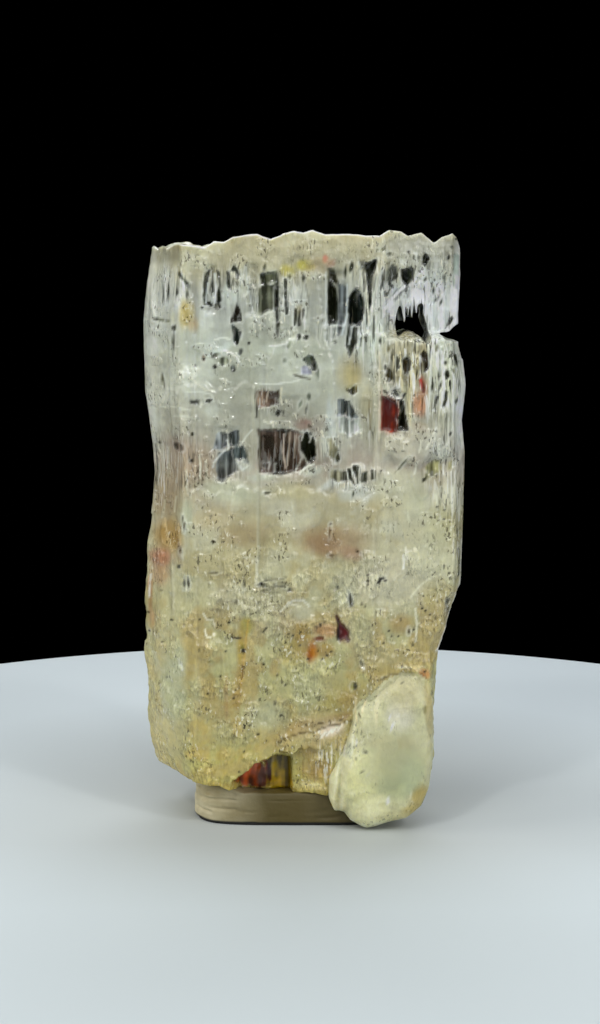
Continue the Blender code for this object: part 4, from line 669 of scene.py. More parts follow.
)

print("pits:", len(PITS), "stains:", len(STAINS), "pale patches:", len(PALE), "lines:", len(LINES))

# %% [markdown]
# ## The outlines of the crystal
#
# The plan is a hexagon stretched sideways, because this crystal grew flat. Its side edges, its
# jagged top and its worn underside are outlines read against height or against x. They hold the
# same values as the solid model, so that the fine surface follows it.

# %% Measured outlines and steps
FRONT_Y = -5.6
BACK_Y = 7.6
LEFT_VERTEX = (-13.75, 0.5)
RIGHT_VERTEX = (13.95, -4.2)
FACE_SLOPE = math.tan(math.radians(60.0))
BERYL_IOR = 1.58

# Height, then how far out the side edge is from the middle.
LEFT_EDGE = ((3.4, 12.0), (4.8, 12.9), (6.6, 13.5), (8.5, 13.8), (15.0, 13.88), (24.5, 13.75),
             (26.0, 13.45), (28.5, 13.15), (30.8, 12.9), (33.0, 13.0), (36.0, 13.35), (38.0, 13.62),
             (44.0, 13.72), (47.0, 13.45), (50.2, 13.0))
RIGHT_EDGE = ((3.2, 11.2), (7.6, 11.7), (11.5, 11.8), (15.8, 12.1), (18.0, 12.8), (20.1, 13.4),
              (21.5, 13.9), (28.5, 14.05), (33.0, 14.15), (35.8, 13.9), (38.8, 14.2), (41.0, 13.95),
              (42.2, 13.7), (45.0, 13.7), (48.0, 13.8), (50.2, 13.7))
EDGE_SHIFT_FROM = 7.0
# x, then the height of the top and of the underside.
CROWN_EDGE = ((-13.1, 50.1), (-12.7, 50.45), (-11.6, 50.0), (-11.3, 50.75), (-9.4, 50.6), (-8.0, 50.4),
              (-7.2, 50.9), (-6.4, 50.85), (-5.6, 51.3), (-3.6, 51.5), (-2.5, 51.1), (-0.8, 51.75),
              (0.3, 51.6), (1.1, 51.85), (2.1, 51.5), (4.9, 51.5), (5.5, 51.35), (6.7, 51.35),
              (7.5, 51.85), (8.5, 51.75), (9.1, 51.4), (10.2, 51.6), (10.9, 51.1), (11.3, 50.8),
              (12.0, 51.3), (12.9, 51.6), (13.4, 51.2), (13.7, 50.3))
UNDERSIDE = ((-13.9, 9.3), (-13.5, 7.3), (-13.1, 6.0), (-12.6, 5.1), (-12.0, 4.6), (-10.8, 4.15),
             (-9.6, 3.95), (-7.0, 3.9), (-5.0, 2.95), (3.0, 3.05), (8.0, 3.5), (11.0, 4.6), (12.2, 6.4))
# Closed outlines seen from the front: x, then height.
LOBE_OUTLINE = ((5.3, 11.5), (4.7, 10.9), (4.5, 9.3), (4.0, 7.6), (3.2, 5.9), (2.55, 4.7), (2.5, 2.9),
                (3.0, 1.75), (3.8, 1.55), (4.4, 0.85), (5.7, 0.12), (7.0, 0.35), (9.1, 0.95),
                (10.6, 2.0), (11.25, 3.7), (11.65, 7.4), (11.6, 11.2), (11.3, 13.0), (10.4, 13.9),
                (8.9, 14.0), (7.1, 13.1), (6.2, 12.1))
HOLE_OUTLINE = ((8.35, 43.2), (9.2, 43.4), (10.05, 43.1), (10.6, 42.6), (10.9, 43.2), (10.55, 44.3),
                (10.45, 45.5), (10.0, 45.55), (9.85, 44.9), (9.7, 45.5), (9.55, 44.5), (9.4, 45.45),
                (9.22, 44.7), (9.05, 45.4), (8.9, 44.2), (8.75, 45.3), (8.5, 45.3), (8.25, 44.5))
NOTCH_OUTLINE = ((12.05, 43.25), (12.7, 42.75), (15.0, 42.5), (15.0, 44.6), (13.4, 43.9), (12.8, 43.45))

# Steps: from x, to x, from z, to z, height. Flutes: x, half width, from z, to z, depth.
FRONT_TERRACES = ((-10.0, -3.6, 22.5, 38.5, 0.10), (7.05, 13.2, 33.0, 42.7, 0.50),
                  (-9.4, 7.6, 4.6, 29.6, 0.12), (4.2, 13.2, 24.0, 31.5, 0.10),
                  (-13.0, -8.6, 40.5, 50.0, -0.18), (-1.2, 3.2, 43.2, 49.0, -0.20))
FRONT_FLUTES = ((-7.6, 0.55, 45.2, 48.6, 0.35), (-4.0, 0.7, 45.0, 48.8, 0.40), (-1.9, 0.3, 44.6, 48.0, 0.3),
                (3.0, 0.85, 44.3, 48.2, 0.45), (5.5, 0.5, 43.5, 48.6, 0.35), (9.0, 0.3, 34.5, 41.0, 0.4),
                (8.4, 0.6, 34.8, 38.0, 0.45), (-6.3, 1.5, 31.0, 35.0, 0.25), (-1.2, 2.2, 31.5, 37.6, 0.25))
TERRACE_WAVES = ((0.3, 1.3), (0.2, 3.7))
LEDGE_SLOPE = 0.25
DIAGONAL_LEDGE = ((-6.2, 3.0), (-5.9, 4.4), (-3.9, 5.7), (-0.9, 6.9), (2.6, 7.6), (5.6, 10.8),
                  (8.7, 13.7), (12.0, 14.4))
print("width at half height:", round(along(LEFT_EDGE, 26.0) + along(RIGHT_EDGE, 26.0), 1), "mm")

# %% [markdown]
# ## Relief
#
# Beryl grows in thin layers, which leave upright grooves and flat steps on the prism faces. Later
# etching has eaten the lower half into small bumps, and part of the lower right has broken away.
# Each of these is a height function of the place. A sculpting brush could do the same by hand, but
# functions can be repeated exactly and turned up or down one at a time.

# %% Height functions
FLUTE_END = 0.5
# The set-back corner at the upper right, then the scoop in the lower right.
SETBACK_X = (7.0, 7.6)
SETBACK_Z = (42.6, 43.5)
SETBACK_DEPTH = 1.3
SCOOP_CENTRE = (10.4, 18.6)
SCOOP_RADII = (3.4, 4.6)
SCOOP_DEPTH = 0.45
# The broken recess below the slanting ledge, with its crumbling edge, and the cavity in it.
CRUMBS = ((0.38, (0.8, 1.0, 0.7), 16), (0.22, (0.4, 1.0, 0.4), 17))
RECESS_FROM_X = (-6.3, -5.7)
RECESS_DEPTH = 1.1
CAVITY_X = (-5.5, -0.8)
CAVITY_DEPTH = 1.5
BROKEN_SLOPE = 0.2
# Growth grooves, broad waves and etching, as lumps.
GROOVE_LUMPS = ((2.6, 2.6, 19.0), 3)
GROOVE_LEVELS = 1.6
GROOVE_DEPTH = 0.18
WAVES = ((0.12, (6.0, 6.0, 9.0), 7),)
ETCHING = ((1.0, (1.9, 1.9, 2.6), 5), (0.5, (0.9, 0.9, 1.6), 6))
ETCH_HEIGHT = 0.24
ETCHED_Z = (20.0, 24.0)


def terrace(x, z, from_x, to_x, from_z, to_z):
    """1 on an upright growth step: a soft box whose upper and lower edges wave."""
    for height, turn in TERRACE_WAVES:
        z = z + height * np.sin(x * turn + from_z)
    lower = smooth(z, from_z - 4.0 * LEDGE_SLOPE, from_z)
    upper = 1.0 - smooth(z, to_z, to_z + 2.0 * LEDGE_SLOPE)
    return between(x, from_x, to_x, LEDGE_SLOPE) * lower * upper


def flute(x, z, middle, half_width, from_z, to_z):
    """Round-bottomed groove: 1 - (x / half width) squared, faded out at both ends."""
    across = np.clip(1.0 - ((x - middle) / half_width) ** 2, 0.0, 1.0)
    return across * smooth(z, from_z - FLUTE_END, from_z) * (1.0 - smooth(z, to_z, to_z + FLUTE_END))


def front_relief(x, z):
    """Sum of the front's steps and flutes, its set-back corner, scoop, broken recess and cavity."""
    out = 0.0
    for from_x, to_x, from_z, to_z, height in FRONT_TERRACES:
        out = out + height * terrace(x, z, from_x, to_x, from_z, to_z)
    for middle, half_width, from_z, to_z, depth in FRONT_FLUTES:
        out = out - depth * flute(x, z, middle, half_width, from_z, to_z)
    setback = smooth(x, *SETBACK_X) * smooth(z, *SETBACK_Z)
    out = out - SETBACK_DEPTH * setback * (1.0 - 0.6 * smooth(z, 46.0, 50.0))
    across = (x - SCOOP_CENTRE[0]) / SCOOP_RADII[0]
    upwards = (z - SCOOP_CENTRE[1]) / SCOOP_RADII[1]
    scoop = np.clip(1.0 - across**2 - upwards**2, 0.0, 1.0)
    out = out - SCOOP_DEPTH * scoop**0.5
    crumbs = layered(x, 0.0, z, CRUMBS)
    below = 1.0 - smooth(z - along(DIAGONAL_LEDGE, x) + crumbs, -0.35, 0.1)
    recess = below * smooth(x, *RECESS_FROM_X)
    cavity = recess * (1.0 - smooth(z, 6.0, 6.3)) * between(x, *CAVITY_X, BROKEN_SLOPE)
    shallower = 1.0 - 0.8 * smooth(x, -0.5, 3.0)
    return out - RECESS_DEPTH * recess * shallower - CAVITY_DEPTH * cavity


def relief(x, y, z):
    """Rounded-off lumps for growth grooves, broad waves, and two sizes of etching below 24 mm."""
    grooves = np.round(GROOVE_LEVELS * lumps(x, y, z, *GROOVE_LUMPS)) / GROOVE_LEVELS
    etched = 1.0 - smooth(z, *ETCHED_Z)
    etching = ETCH_HEIGHT * layered(x, y, z, ETCHING) * etched
    return GROOVE_DEPTH * grooves + layered(x, y, z, WAVES) + etching


# Fine relief in mm at each height z: upright lines, etched grain and frost.
LINE_HEIGHT = ((3.0, 0.03), (20.0, 0.03), (24.0, 0.012), (30.0, 0.05), (42.0, 0.06), (48.0, 0.05),
               (49.5, 0.02))
GRAIN_HEIGHT = ((3.0, 0.075), (17.0, 0.075), (23.0, 0.03), (26.0, 0.012), (46.0, 0.012), (49.0, 0.03))
UPRIGHT_LINES = ((1.0, (0.8, 0.8, 12.0), 41), (0.7, (0.33, 0.5, 7.0), 42))
GRAIN = ((1.0, (0.5, 0.5, 0.7), 43), (0.6, (0.26, 0.26, 0.34), 44))


def fine_relief(x, y, z):
    """Upright lines from tall thin lumps, plus grain from small round ones."""
    lines = along(LINE_HEIGHT, z) * layered(x, y, z, UPRIGHT_LINES)
    return lines + along(GRAIN_HEIGHT, z) * layered(x, y, z, GRAIN)


# %% [markdown]
# ## Reading the marks
#
# A window is either an outline with corners or a superellipse: a needle with pointed ends when its
# squareness is below 2, an ellipse at 2, and a box with round corners at 5 or 6. Windows have
# crisp, slightly ragged edges, as torn films have. Stains fade out like ink in blotting paper,
# by a bell curve.

# %% Masks in the photograph's pixels
# In pixels: the blur of a window's edge, how far round it points are looked at, and its wobble.
EDGE_SOFTNESS = 1.0
NEAR_MARGIN = 4.0
EDGE_WOBBLE = 0.8
WOBBLE_LUMPS = ((1.4, (0.3, 0.3, 1.1), 51), (0.8, (0.2, 0.2, 0.4), 52))


def mark_place(u, v, middle_u, middle_v, tilt):
    """Distances across and along a mark that is tilted by so many degrees."""
    turn = math.radians(tilt)
    across = (u - middle_u) * math.cos(turn) + (v - middle_v) * math.sin(turn)
    length = (v - middle_v) * math.cos(turn) - (u - middle_u) * math.sin(turn)
    return across, length


def line_distance(u, v, points):
    """Distance in pixels to the nearest of the straight pieces between the points."""
    nearest = np.full(len(u), 1e6)
    for (u0, v0), (u1, v1) in zip(points[:-1], points[1:]):
        share = ((u - u0) * (u1 - u0) + (v - v0) * (v1 - v0)) / ((u1 - u0) ** 2 + (v1 - v0) ** 2)
        share = np.clip(share, 0.0, 1.0)
        nearest = np.minimum(nearest, np.hypot(u - u0 - share * (u1 - u0), v - v0 - share * (v1 - v0)))
    return nearest


def inside_outline(outline, x, z):
    """Even-odd rule: a point is inside when a line from it crosses the outline an odd number of times."""
    points = np.array(outline)
    inside = np.zeros(len(x), bool)
    for (x0, z0), (x1, z1) in zip(points, np.roll(points, -1, axis=0)):
        crosses = (z0 > z) != (z1 > z)
        inside ^= crosses & (x < (x1 - x0) * (z - z0) / (z1 - z0 + 1e-12) + x0)
    return inside


def cut_windows(u, v, ragged):
    """For each cut: the points near it, how far inside its edge they are, and its finish there.

    The distance to the outline is positive inside and negative outside, plus a small wobble.
    """
    for upper, lower, clearness, depth, places in CUTS:
        corners = np.reshape(places, (-1, 2))
        low = np.min(corners, axis=0)
        high = np.max(corners, axis=0)
        near_u = (u > low[0] - NEAR_MARGIN) & (u < high[0] + NEAR_MARGIN)
        near_v = (v > low[1] - NEAR_MARGIN) & (v < high[1] + NEAR_MARGIN)
        near = np.nonzero(near_u & near_v)[0]
        distance = line_distance(u[near], v[near], np.vstack([corners, corners[:1]]))
        inside = np.where(inside_outline(corners, u[near], v[near]), distance, -distance)
        down = np.clip((v[near] - low[1]) / (high[1] - low[1]), 0.0, 1.0)[:, None]
        colour = (1.0 - down) * linear(upper) + down * linear(lower)
        yield near, inside + EDGE_WOBBLE * ragged[near], colour, clearness, depth


def small_windows(u, v, ragged):
    """The same for superellipses, where |across|^p + |along|^p is 1 at the edge."""
    for middle_u, middle_v, half_u, half_v, tilt, power, colour, clearness, depth in WINDOWS:
        reach = max(half_u, half_v) + NEAR_MARGIN
        near = np.nonzero((np.abs(u - middle_u) < reach) & (np.abs(v - middle_v) < reach))[0]
        across, length = mark_place(u[near], v[near], middle_u, middle_v, tilt)
        radius = (np.abs(across / half_u) ** power + np.abs(length / half_v) ** power) ** (1.0 / power)
        inside = (1.0 - radius) * min(half_u, half_v) + ragged[near] * min(0.5, 0.25 * half_u)
        yield near, inside, np.tile(linear(colour), (len(near), 1)), clearness, depth


def all_windows(u, v, ragged):
    """Cut windows first, then the small ones over them."""
    yield from cut_windows(u, v, ragged)
    yield from small_windows(u, v, ragged)


def soft_mask(u, v, middle_u, middle_v, half_u, half_v, tilt):
    """Bell curve exp(-r^4), flat in the middle and gone at about one and a half radii."""
    across, length = mark_place(u, v, middle_u, middle_v, tilt)
    return np.exp(-(((across / half_u) ** 2 + (length / half_v) ** 2) ** 2))


def ragged_edge(x, y, z):
    """Wobble of a window's edge in pixels, tall and narrow like the growth lines."""
    return layered(x, y, z, WOBBLE_LUMPS)


def window_depth(x, y, z):
    """Deepest of the windows at each point, as a depth in mm."""
    u, v = photo_pixels(x, y, z)
    depth = np.zeros(len(u))
    for near, inside, _, _, sink in all_windows(u, v, ragged_edge(x, y, z)):
        depth[near] = np.maximum(depth[near], sink * smooth(inside, -0.3, 1.6))
    return depth


# %% [markdown]
# ## The fine surface
#
# The prism is a grid: columns run round the hexagon and rows run up it, with closer columns on
# the front than on the back. The rows bend to meet the jagged crown and the underside, and rings
# run in over the top and bottom to close them. Below 22 mm the left ridge is worn blunt, so the
# points near it move inwards together. A subdivided box would spend as many points on the back.

# %% Prism grid
FACE_COLUMNS = (196, 8, 14, 28, 10, 24)
# Height in mm and the number of rows below it: closest together where the windows are.
PRISM_ROWS = ((3.5, 0), (14.0, 52), (27.0, 128), (50.9, 306))
CAP_SHARES_TOP = np.linspace(0.03, 0.97, 15)
CAP_SHARES_BASE = np.linspace(0.06, 0.97, 9)
# The caps shrink to a line along the middle, and follow the rim over the first part of the way.
CAP_LINE_X = (-7.5, 7.5)
CAP_LINE_Y = 1.0
# Rows are level from 14 to 46 mm, and bend to the underside and the crown beyond that.
LEVEL_ROWS = (14.0, 46.0)
UNDERSIDE_LUMPS = ((0.12, (2.2, 2.2, 1.0), 11), (0.10, (0.6, 0.6, 1.0), 12))
UNDERSIDE_BACK_RISE = 1.3
CROWN_JAG = ((1.0, (1.7, 1.7, 1.0), 13), (0.6, (0.8, 0.8, 1.0), 14))
CROWN_FINE = ((0.10, (0.45, 0.45, 1.0), 15),)
CROWN_BACK_Z = 51.0
CROWN_ROUGHNESS = 0.5
# How far back the windows are sunk, then the worn left ridge: its way inwards, depth and reach.
SUNK_TO_Y = (0.2, 0.9)
WORN_DIRECTION = (0.5, 0.87)
WORN_DEPTH = 0.6
WORN_REACH = 3.0
WORN_BELOW_Z = (22.0, 27.0)


def plan_corners():
    """The six corners, anticlockwise from the front left ridge, with 120 degrees at each."""
    left_x, left_y = LEFT_VERTEX
    right_x, right_y = RIGHT_VERTEX
    return np.array([(left_x + (left_y - FRONT_Y) / FACE_SLOPE, FRONT_Y),
                     (right_x - (right_y - FRONT_Y) / FACE_SLOPE, FRONT_Y),
                     (right_x, right_y),
                     (right_x - (BACK_Y - right_y) / FACE_SLOPE, BACK_Y),
                     (left_x + (BACK_Y - left_y) / FACE_SLOPE, BACK_Y),
                     (left_x, left_y)])


def outward_from(span):
    """An edge of the plan turned by a right angle, so that it points out."""
    return np.array([span[1], -span[0]]) / np.hypot(*span)


def plan_columns():
    """Points evenly spaced along each edge of the hexagon, with the direction out of each."""
    corners = plan_corners()
    points = []
    outward = []
    for side, columns in enumerate(FACE_COLUMNS):
        start = corners[side]
        span = corners[(side + 1) % 6] - start
        share = (np.arange(columns) / columns)[:, None]
        ridge = outward_from(span) + outward_from(start - corners[side - 1])
        points.append(start + share * span)
        outward.append(np.where(share == 0.0, ridge / np.hypot(*ridge), outward_from(span)))
    return np.concatenate(points), np.concatenate(outward)


def edge_shift(x, z):
    """Sideways move near each side that makes the outline follow its measured edges."""
    left = along(LEFT_EDGE, z) + LEFT_VERTEX[0]
    right = along(RIGHT_EDGE, z) - RIGHT_VERTEX[0]
    left_share = smooth(-x, EDGE_SHIFT_FROM, -LEFT_VERTEX[0])
    return smooth(x, EDGE_SHIFT_FROM, RIGHT_VERTEX[0]) * right - left_share * left


def underside(x, y):
    """Height of the lower surface: its outline, higher at the back, with two sizes of lumps."""
    rise = UNDERSIDE_BACK_RISE * smooth(y, 4.5, BACK_Y)
    return along(UNDERSIDE, x) + rise + layered(x, y, 0.0, UNDERSIDE_LUMPS)


def crown(x, y):
    """Height of the jagged top: its outline at the front, turning into rough lumps behind."""
    edge = along(CROWN_EDGE, x)
    jag = layered(x, y, 0.0, CROWN_JAG)
    fine = layered(x, y, 0.0, CROWN_FINE)
    rough = 0.5 * (edge + CROWN_BACK_Z) - 0.4 + CROWN_ROUGHNESS * jag + fine
    behind = smooth(y, FRONT_Y + 0.6, FRONT_Y + 3.5)
    return (1.0 - behind) * (edge + 0.5 * fine) + behind * rough


def side_surface(base, outward, z):
    """Plan point and outline's shift, then relief outwards, front relief forwards and the worn ridge."""
    x = base[:, 0] + edge_shift(base[:, 0], z)
    y = base[:, 1]
    out = relief(x, y, z) + fine_relief(x, y, z)
    front = np.clip((RIGHT_VERTEX[1] - y) / (RIGHT_VERTEX[1] - FRONT_Y), 0.0, 1.0)
    forward = front * front_relief(x, z)
    out = out - (1.0 - smooth(y, *SUNK_TO_Y)) * window_depth(x, y, z)
    from_ridge = np.hypot(*(base - plan_corners()[0]).T)
    nearness = np.clip(1.0 - from_ridge / WORN_REACH, 0.0, 1.0)
    worn = WORN_DEPTH * nearness**2 * (1.0 - smooth(z, *WORN_BELOW_Z))
    x = x + outward[:, 0] * out + WORN_DIRECTION[0] * worn
    y = y + outward[:, 1] * out + WORN_DIRECTION[1] * worn - forward
    return np.column_stack([x, y, z])


def cap_rings(rim, height, shares):
    """Rings that shrink from the rim to a ridge along the middle, at the surface's height there."""
    target = np.column_stack([np.clip(rim[:, 0], *CAP_LINE_X), np.full(len(rim), CAP_LINE_Y)])
    edge = rim[:, 2] - height(rim[:, 0], rim[:, 1])
    rings = []
    for share in shares:
        plan = rim[:, :2] + share * (target - rim[:, :2])
        z = height(plan[:, 0], plan[:, 1]) + edge * max(0.0, 1.0 - share / 0.2)
        rings.append(np.column_stack([plan, z]))
    return rings


def prism_grid():
    """All rings from the middle of the underside, up the faces, to the middle of the crown."""
    base, outward = plan_columns()
    heights, counts = zip(*PRISM_ROWS)
    rows = np.interp(np.arange(counts[-1] + 1), counts, heights)
    level_from, level_to = LEVEL_ROWS
    low_bend = np.clip((level_from - rows) / (level_from - rows[0]), 0.0, 1.0)
    high_bend = np.clip((rows - level_to) / (rows[-1] - level_to), 0.0, 1.0)
    sides = []
    for row, low, high in zip(rows, low_bend, high_bend):
        x = base[:, 0] + edge_shift(base[:, 0], np.full(len(base), row))
        y = base[:, 1]
        z = row + low * (underside(x, y) - rows[0]) + high * (crown(x, y) - rows[-1])
        sides.append(side_surface(base, outward, z))
    below = cap_rings(sides[0], underside, CAP_SHARES_BASE)
    above = cap_rings(sides[-1], crown, CAP_SHARES_TOP)
    return np.array(below[::-1] + sides + above)


crystal_grid = prism_grid()
print("prism grid:", crystal_grid.shape[:2])

# %% [markdown]
# ## The lobe
#
# A smooth waxy lobe hangs at the lower right. Its outline is drawn in towards the middle by a
# share, from the cosine of an angle that turns from the middle of the back, out to the rim, to
# the middle of the front. The front is flat and leans back at the top, with a bevel round it and
# a low ledge down its left side. One loop gives the whole form, ready to join to the prism.

# %% Lobe grid
LOBE_POINTS = 120
# The turn in degrees at the first and the last ring, and how many rings there are.
LOBE_TURNS = (-82.0, 84.0, 44)
LOBE_ROUNDNESS = 0.6
LOBE_CENTRE = (7.4, 7.0)
LOBE_PLANE_Y = -5.85
LOBE_LEAN = 0.18
LOBE_FRONT_BULGE = 1.5
LOBE_BACK_BULGE = 3.2
LOBE_CORNERS = 0.65
LEDGE_DEPTH = 0.14
LOBE_LUMPS = ((0.9, 0.9, 0.9), 22)
LOBE_LUMP_HEIGHT = 0.05
LOBE_HANGING_BACK_Y = -5.45
# Marks on the lobe: u, v, half u, half v, tilt.
POOL = (395.0, 768.0, 31.0, 31.0, 0.0)
GROOVE_LEFT = (341.0, 780.0, 3.0, 34.0, 4.0)
GROOVE_INNER = (356.0, 745.0, 2.5, 22.0, 4.0)
BROKEN_EDGE = (418.0, 800.0, 11.0, 13.0, 30.0)
FACET_COARSE = ((2.0, 2.0, 3.2), 27)
FACET_FINE = ((0.8, 0.8, 1.2), 28)
# Openings are cut from behind the back to before the front, and flare towards both.
CUT_Y = (10.0, -9.0, 48)
CUT_MIDDLE_Y = 1.0
CUT_FLARE = 0.25
CUT_WOBBLE_X = ((0.5, 0.9, 0.5), 24)
CUT_WOBBLE_Z = ((0.4, 0.9, 0.6), 25)
CUT_WOBBLE_MM = 0.10


def rounded_outline(outline, count):
    """A closed Catmull-Rom curve through the outline's points: a cubic between each pair."""
    points = np.array(outline)
    place = np.linspace(0.0, len(points), count, endpoint=False)
    index = place.astype(int)
    t = (place - index)[:, None]
    before, start, end, after = (points[(index + shift) % len(points)] for shift in (-1, 0, 1, 2))
    linear_part = 0.5 * t * (end - before)
    square_part = 0.5 * t**2 * (2.0 * before - 5.0 * start + 4.0 * end - after)
    cube_part = 0.5 * t**3 * (3.0 * start - before - 3.0 * end + after)
    return start + linear_part + square_part + cube_part


def lobe_relief(x, y, z):
    """Depth in mm of the smooth pool, the grooves at the left, the broken lower edge and flat facets."""
    u, v = photo_pixels(x, y, z)
    pool = soft_mask(u, v, *POOL)
    groove = soft_mask(u, v, *GROOVE_LEFT) + 0.7 * soft_mask(u, v, *GROOVE_INNER)
    broken = soft_mask(u, v, *BROKEN_EDGE)
    facets = np.abs(lumps(x, y, z, *FACET_COARSE)) + 0.5 * np.abs(lumps(x, y, z, *FACET_FINE))
    return 0.45 * pool + 0.50 * groove + 0.50 * broken + 0.5 * (1.0 - pool) * facets


def lobe_grid():
    """The outline times a share: a flat leaning front, a bevel, lumps, and a flat back where it hangs.

    The share is the cosine of the turn to a power under 1. The bevel falls from 1 at the middle to
    0 at the rim, as one minus the share's eighth power. Corners are kept by mixing the rounded
    outline with the straight one.
    """
    centre = np.array(LOBE_CENTRE)
    outline = rounded_outline(LOBE_OUTLINE, LOBE_POINTS)
    corners = np.array(LOBE_OUTLINE + LOBE_OUTLINE[:1])
    place = np.linspace(0.0, len(LOBE_OUTLINE), LOBE_POINTS, endpoint=False)
    count = np.arange(len(corners))
    sharp = np.column_stack([np.interp(place, count, corners[:, axis]) for axis in (0, 1)])
    outline = (1.0 - LOBE_CORNERS) * outline + LOBE_CORNERS * sharp
    rings = []
    for turn in np.radians(np.linspace(*LOBE_TURNS)):
        share = math.cos(turn) ** LOBE_ROUNDNESS
        x, z = (centre + (outline - centre) * share).T
        bulge = LOBE_FRONT_BULGE if turn > 0.0 else -LOBE_BACK_BULGE
        ledge = LEDGE_DEPTH * smooth(share, 0.70, 0.76) * (1.0 - smooth(x, 4.6, 6.4))
        bevel = (1.0 - share**8) ** 0.6 * (1.0 - ledge)
        lean = LOBE_LEAN * np.clip(z - 6.5, 0.0, None)
        y = LOBE_PLANE_Y + lean - bulge * bevel
        y = y + share * lobe_relief(x, y, z)
        y = y - LOBE_LUMP_HEIGHT * lumps(x, y, z, *LOBE_LUMPS)
        hanging = 1.0 - smooth(z, 4.2, 5.4)
        y = y - hanging * np.clip(y - LOBE_HANGING_BACK_Y, 0.0, None)
        rings.append(np.column_stack([x, y, z]))
    return np.array(rings)


def ragged_cut(outline):
    """The outline of a broken opening carried from back to front, wobbling as it goes."""
    points = rounded_outline(outline, 8 * len(outline))
    centre = np.array(outline).mean(axis=0)
    rings = []
    for y in np.linspace(*CUT_Y):
        wider = 1.0 + CUT_FLARE * smooth(abs(y - CUT_MIDDLE_Y), 3.0, 9.0)
        x, z = (centre + (points - centre) * wider).T
        x = x + CUT_WOBBLE_MM * lumps(x, y, z, *CUT_WOBBLE_X)
        z = z + CUT_WOBBLE_MM * lumps(x, y, z, *CUT_WOBBLE_Z)
        rings.append(np.column_stack([x, np.full(len(x), y), z]))
    return np.array(rings)


print("lobe outline points:", LOBE_POINTS)

# %% One crystal: the lobe joined on, the hole and the notch cut through
def join_and_cut(body, forms):
    """Boolean each form with the body, then keep the result as a plain mesh."""
    for form, operation in forms:
        step = body.modifiers.new(form.name, "BOOLEAN")
        step.operation = operation
        step.solver = "EXACT"
        step.object = form
    scene_state = bpy.context.evaluated_depsgraph_get()
    mesh = bpy.data.meshes.new_from_object(body.evaluated_get(scene_state))
    body.modifiers.clear()
    body.data = mesh
    for form, _ in forms:
        bpy.data.objects.remove(form)


crystal = add_object("beryl_crystal", ring_mesh("beryl_crystal", crystal_grid))
join_and_cut(crystal, (
    (add_object("lobe", ring_mesh("lobe", lobe_grid())), "UNION"),
    (add_object("hole", ring_mesh("hole", ragged_cut(HOLE_OUTLINE))), "DIFFERENCE"),
    (add_object("notch", ring_mesh("notch", ragged_cut(NOTCH_OUTLINE))), "DIFFERENCE"),
))
print("crystal faces:", len(crystal.data.polygons), "points:", len(crystal.data.vertices))

# %% [markdown]
# ## Colour, clearness and frost
#
# Four values are kept at each point of the mesh. The tint is the colour of the veils and stains
# there, the clearness says how much light goes through instead, the frost is the roughness, and
# the skin says how fibrous, grainy and pitted it is. The tint starts from a few pigments set at
# heights, because the iron stain grows from the bottom up. Upright streaks, flat wisps and broad
# mottle then break it up, so they are worked out first, as clouds of lumps.

# %% Pigments by height, and how strong each texture is there
# Height in mm, then the two colours that lie there in patches.
PIGMENTS = ((3.0, "#b9a453", "#b0a25c"), (5.0, "#b8a65e", "#b1aa64"), (9.0, "#b0a269", "#aca676"),
            (14.0, "#ac9d66", "#aeab7a"), (18.5, "#ada071", "#b4b189"), (22.0, "#b3ab81", "#bcb996"),
            (26.0, "#b3ac88", "#c0bda0"), (29.5, "#b9b59a", "#c6c5b0"), (32.0, "#aca292", "#b8b3a2"),
            (35.0, "#b3b2a2", "#c2c4b4"), (38.0, "#bcbeae", "#cccfc0"), (42.0, "#bec2b2", "#ced3c6"),
            (46.0, "#bcbfb4", "#d0d5cc"), (48.4, "#bcb99d", "#c7c7af"), (51.0, "#bdb897", "#c8c6a8"))
# Height in mm, then the clearness between the windows.
CLEAR_BASE = ((3.0, 0.10), (18.0, 0.10), (24.0, 0.05), (30.0, 0.08), (34.0, 0.12), (38.0, 0.08), (44.0, 0.10),
              (47.5, 0.10), (49.0, 0.04))
# Height in mm, then how strongly the tall streaks and the flat wisps show.
STREAKS = ((3.0, 0.02), (22.0, 0.03), (27.0, 0.02), (31.0, 0.08), (35.0, 0.06), (37.0, 0.02), (42.0, 0.03),
           (43.5, 0.12), (47.5, 0.14), (48.6, 0.03))
WISPS = ((3.0, 0.03), (20.0, 0.05), (25.0, 0.06), (30.0, 0.05), (35.0, 0.08), (41.0, 0.10), (43.0, 0.03))
# Height in mm, then the roughness of the skin.
FROST = ((3.0, 0.18), (18.0, 0.18), (24.0, 0.14), (40.0, 0.11), (47.0, 0.10), (49.0, 0.20), (51.0, 0.28))
# Clouds that break these up: size of their lumps in mm, then the seed and the octaves.
CLOUDS = {
    "streaks": ((0.6, 0.8, 9.0), 61),
    "wisps": ((3.0, 3.0, 0.8), 71),
    "needles": ((0.3, 0.4, 2.6), 62, 2),
    "mottle": ((3.6, 3.6, 3.6), 81),
    "patches": ((2.2, 2.2, 2.6), 91, 5),
    "clusters": ((1.4, 1.4, 1.8), 97, 3),
    "sparse": ((1.6, 1.6, 1.2), 98, 3),
    "veils": ((1.6, 1.6, 8.0), 65, 3),
}
NEEDLE_STRENGTH = 1.2
# Values of two of the clouds between which clusters of grain and sparse pits begin.
CLUSTER_EDGE = (-0.25, 0.35)
SPARSE_EDGE = (0.15, 0.5)
# The photograph's marks fade out between these depths, because it shows the front alone.
SEEN_TO_Y = (0.4, 1.2)


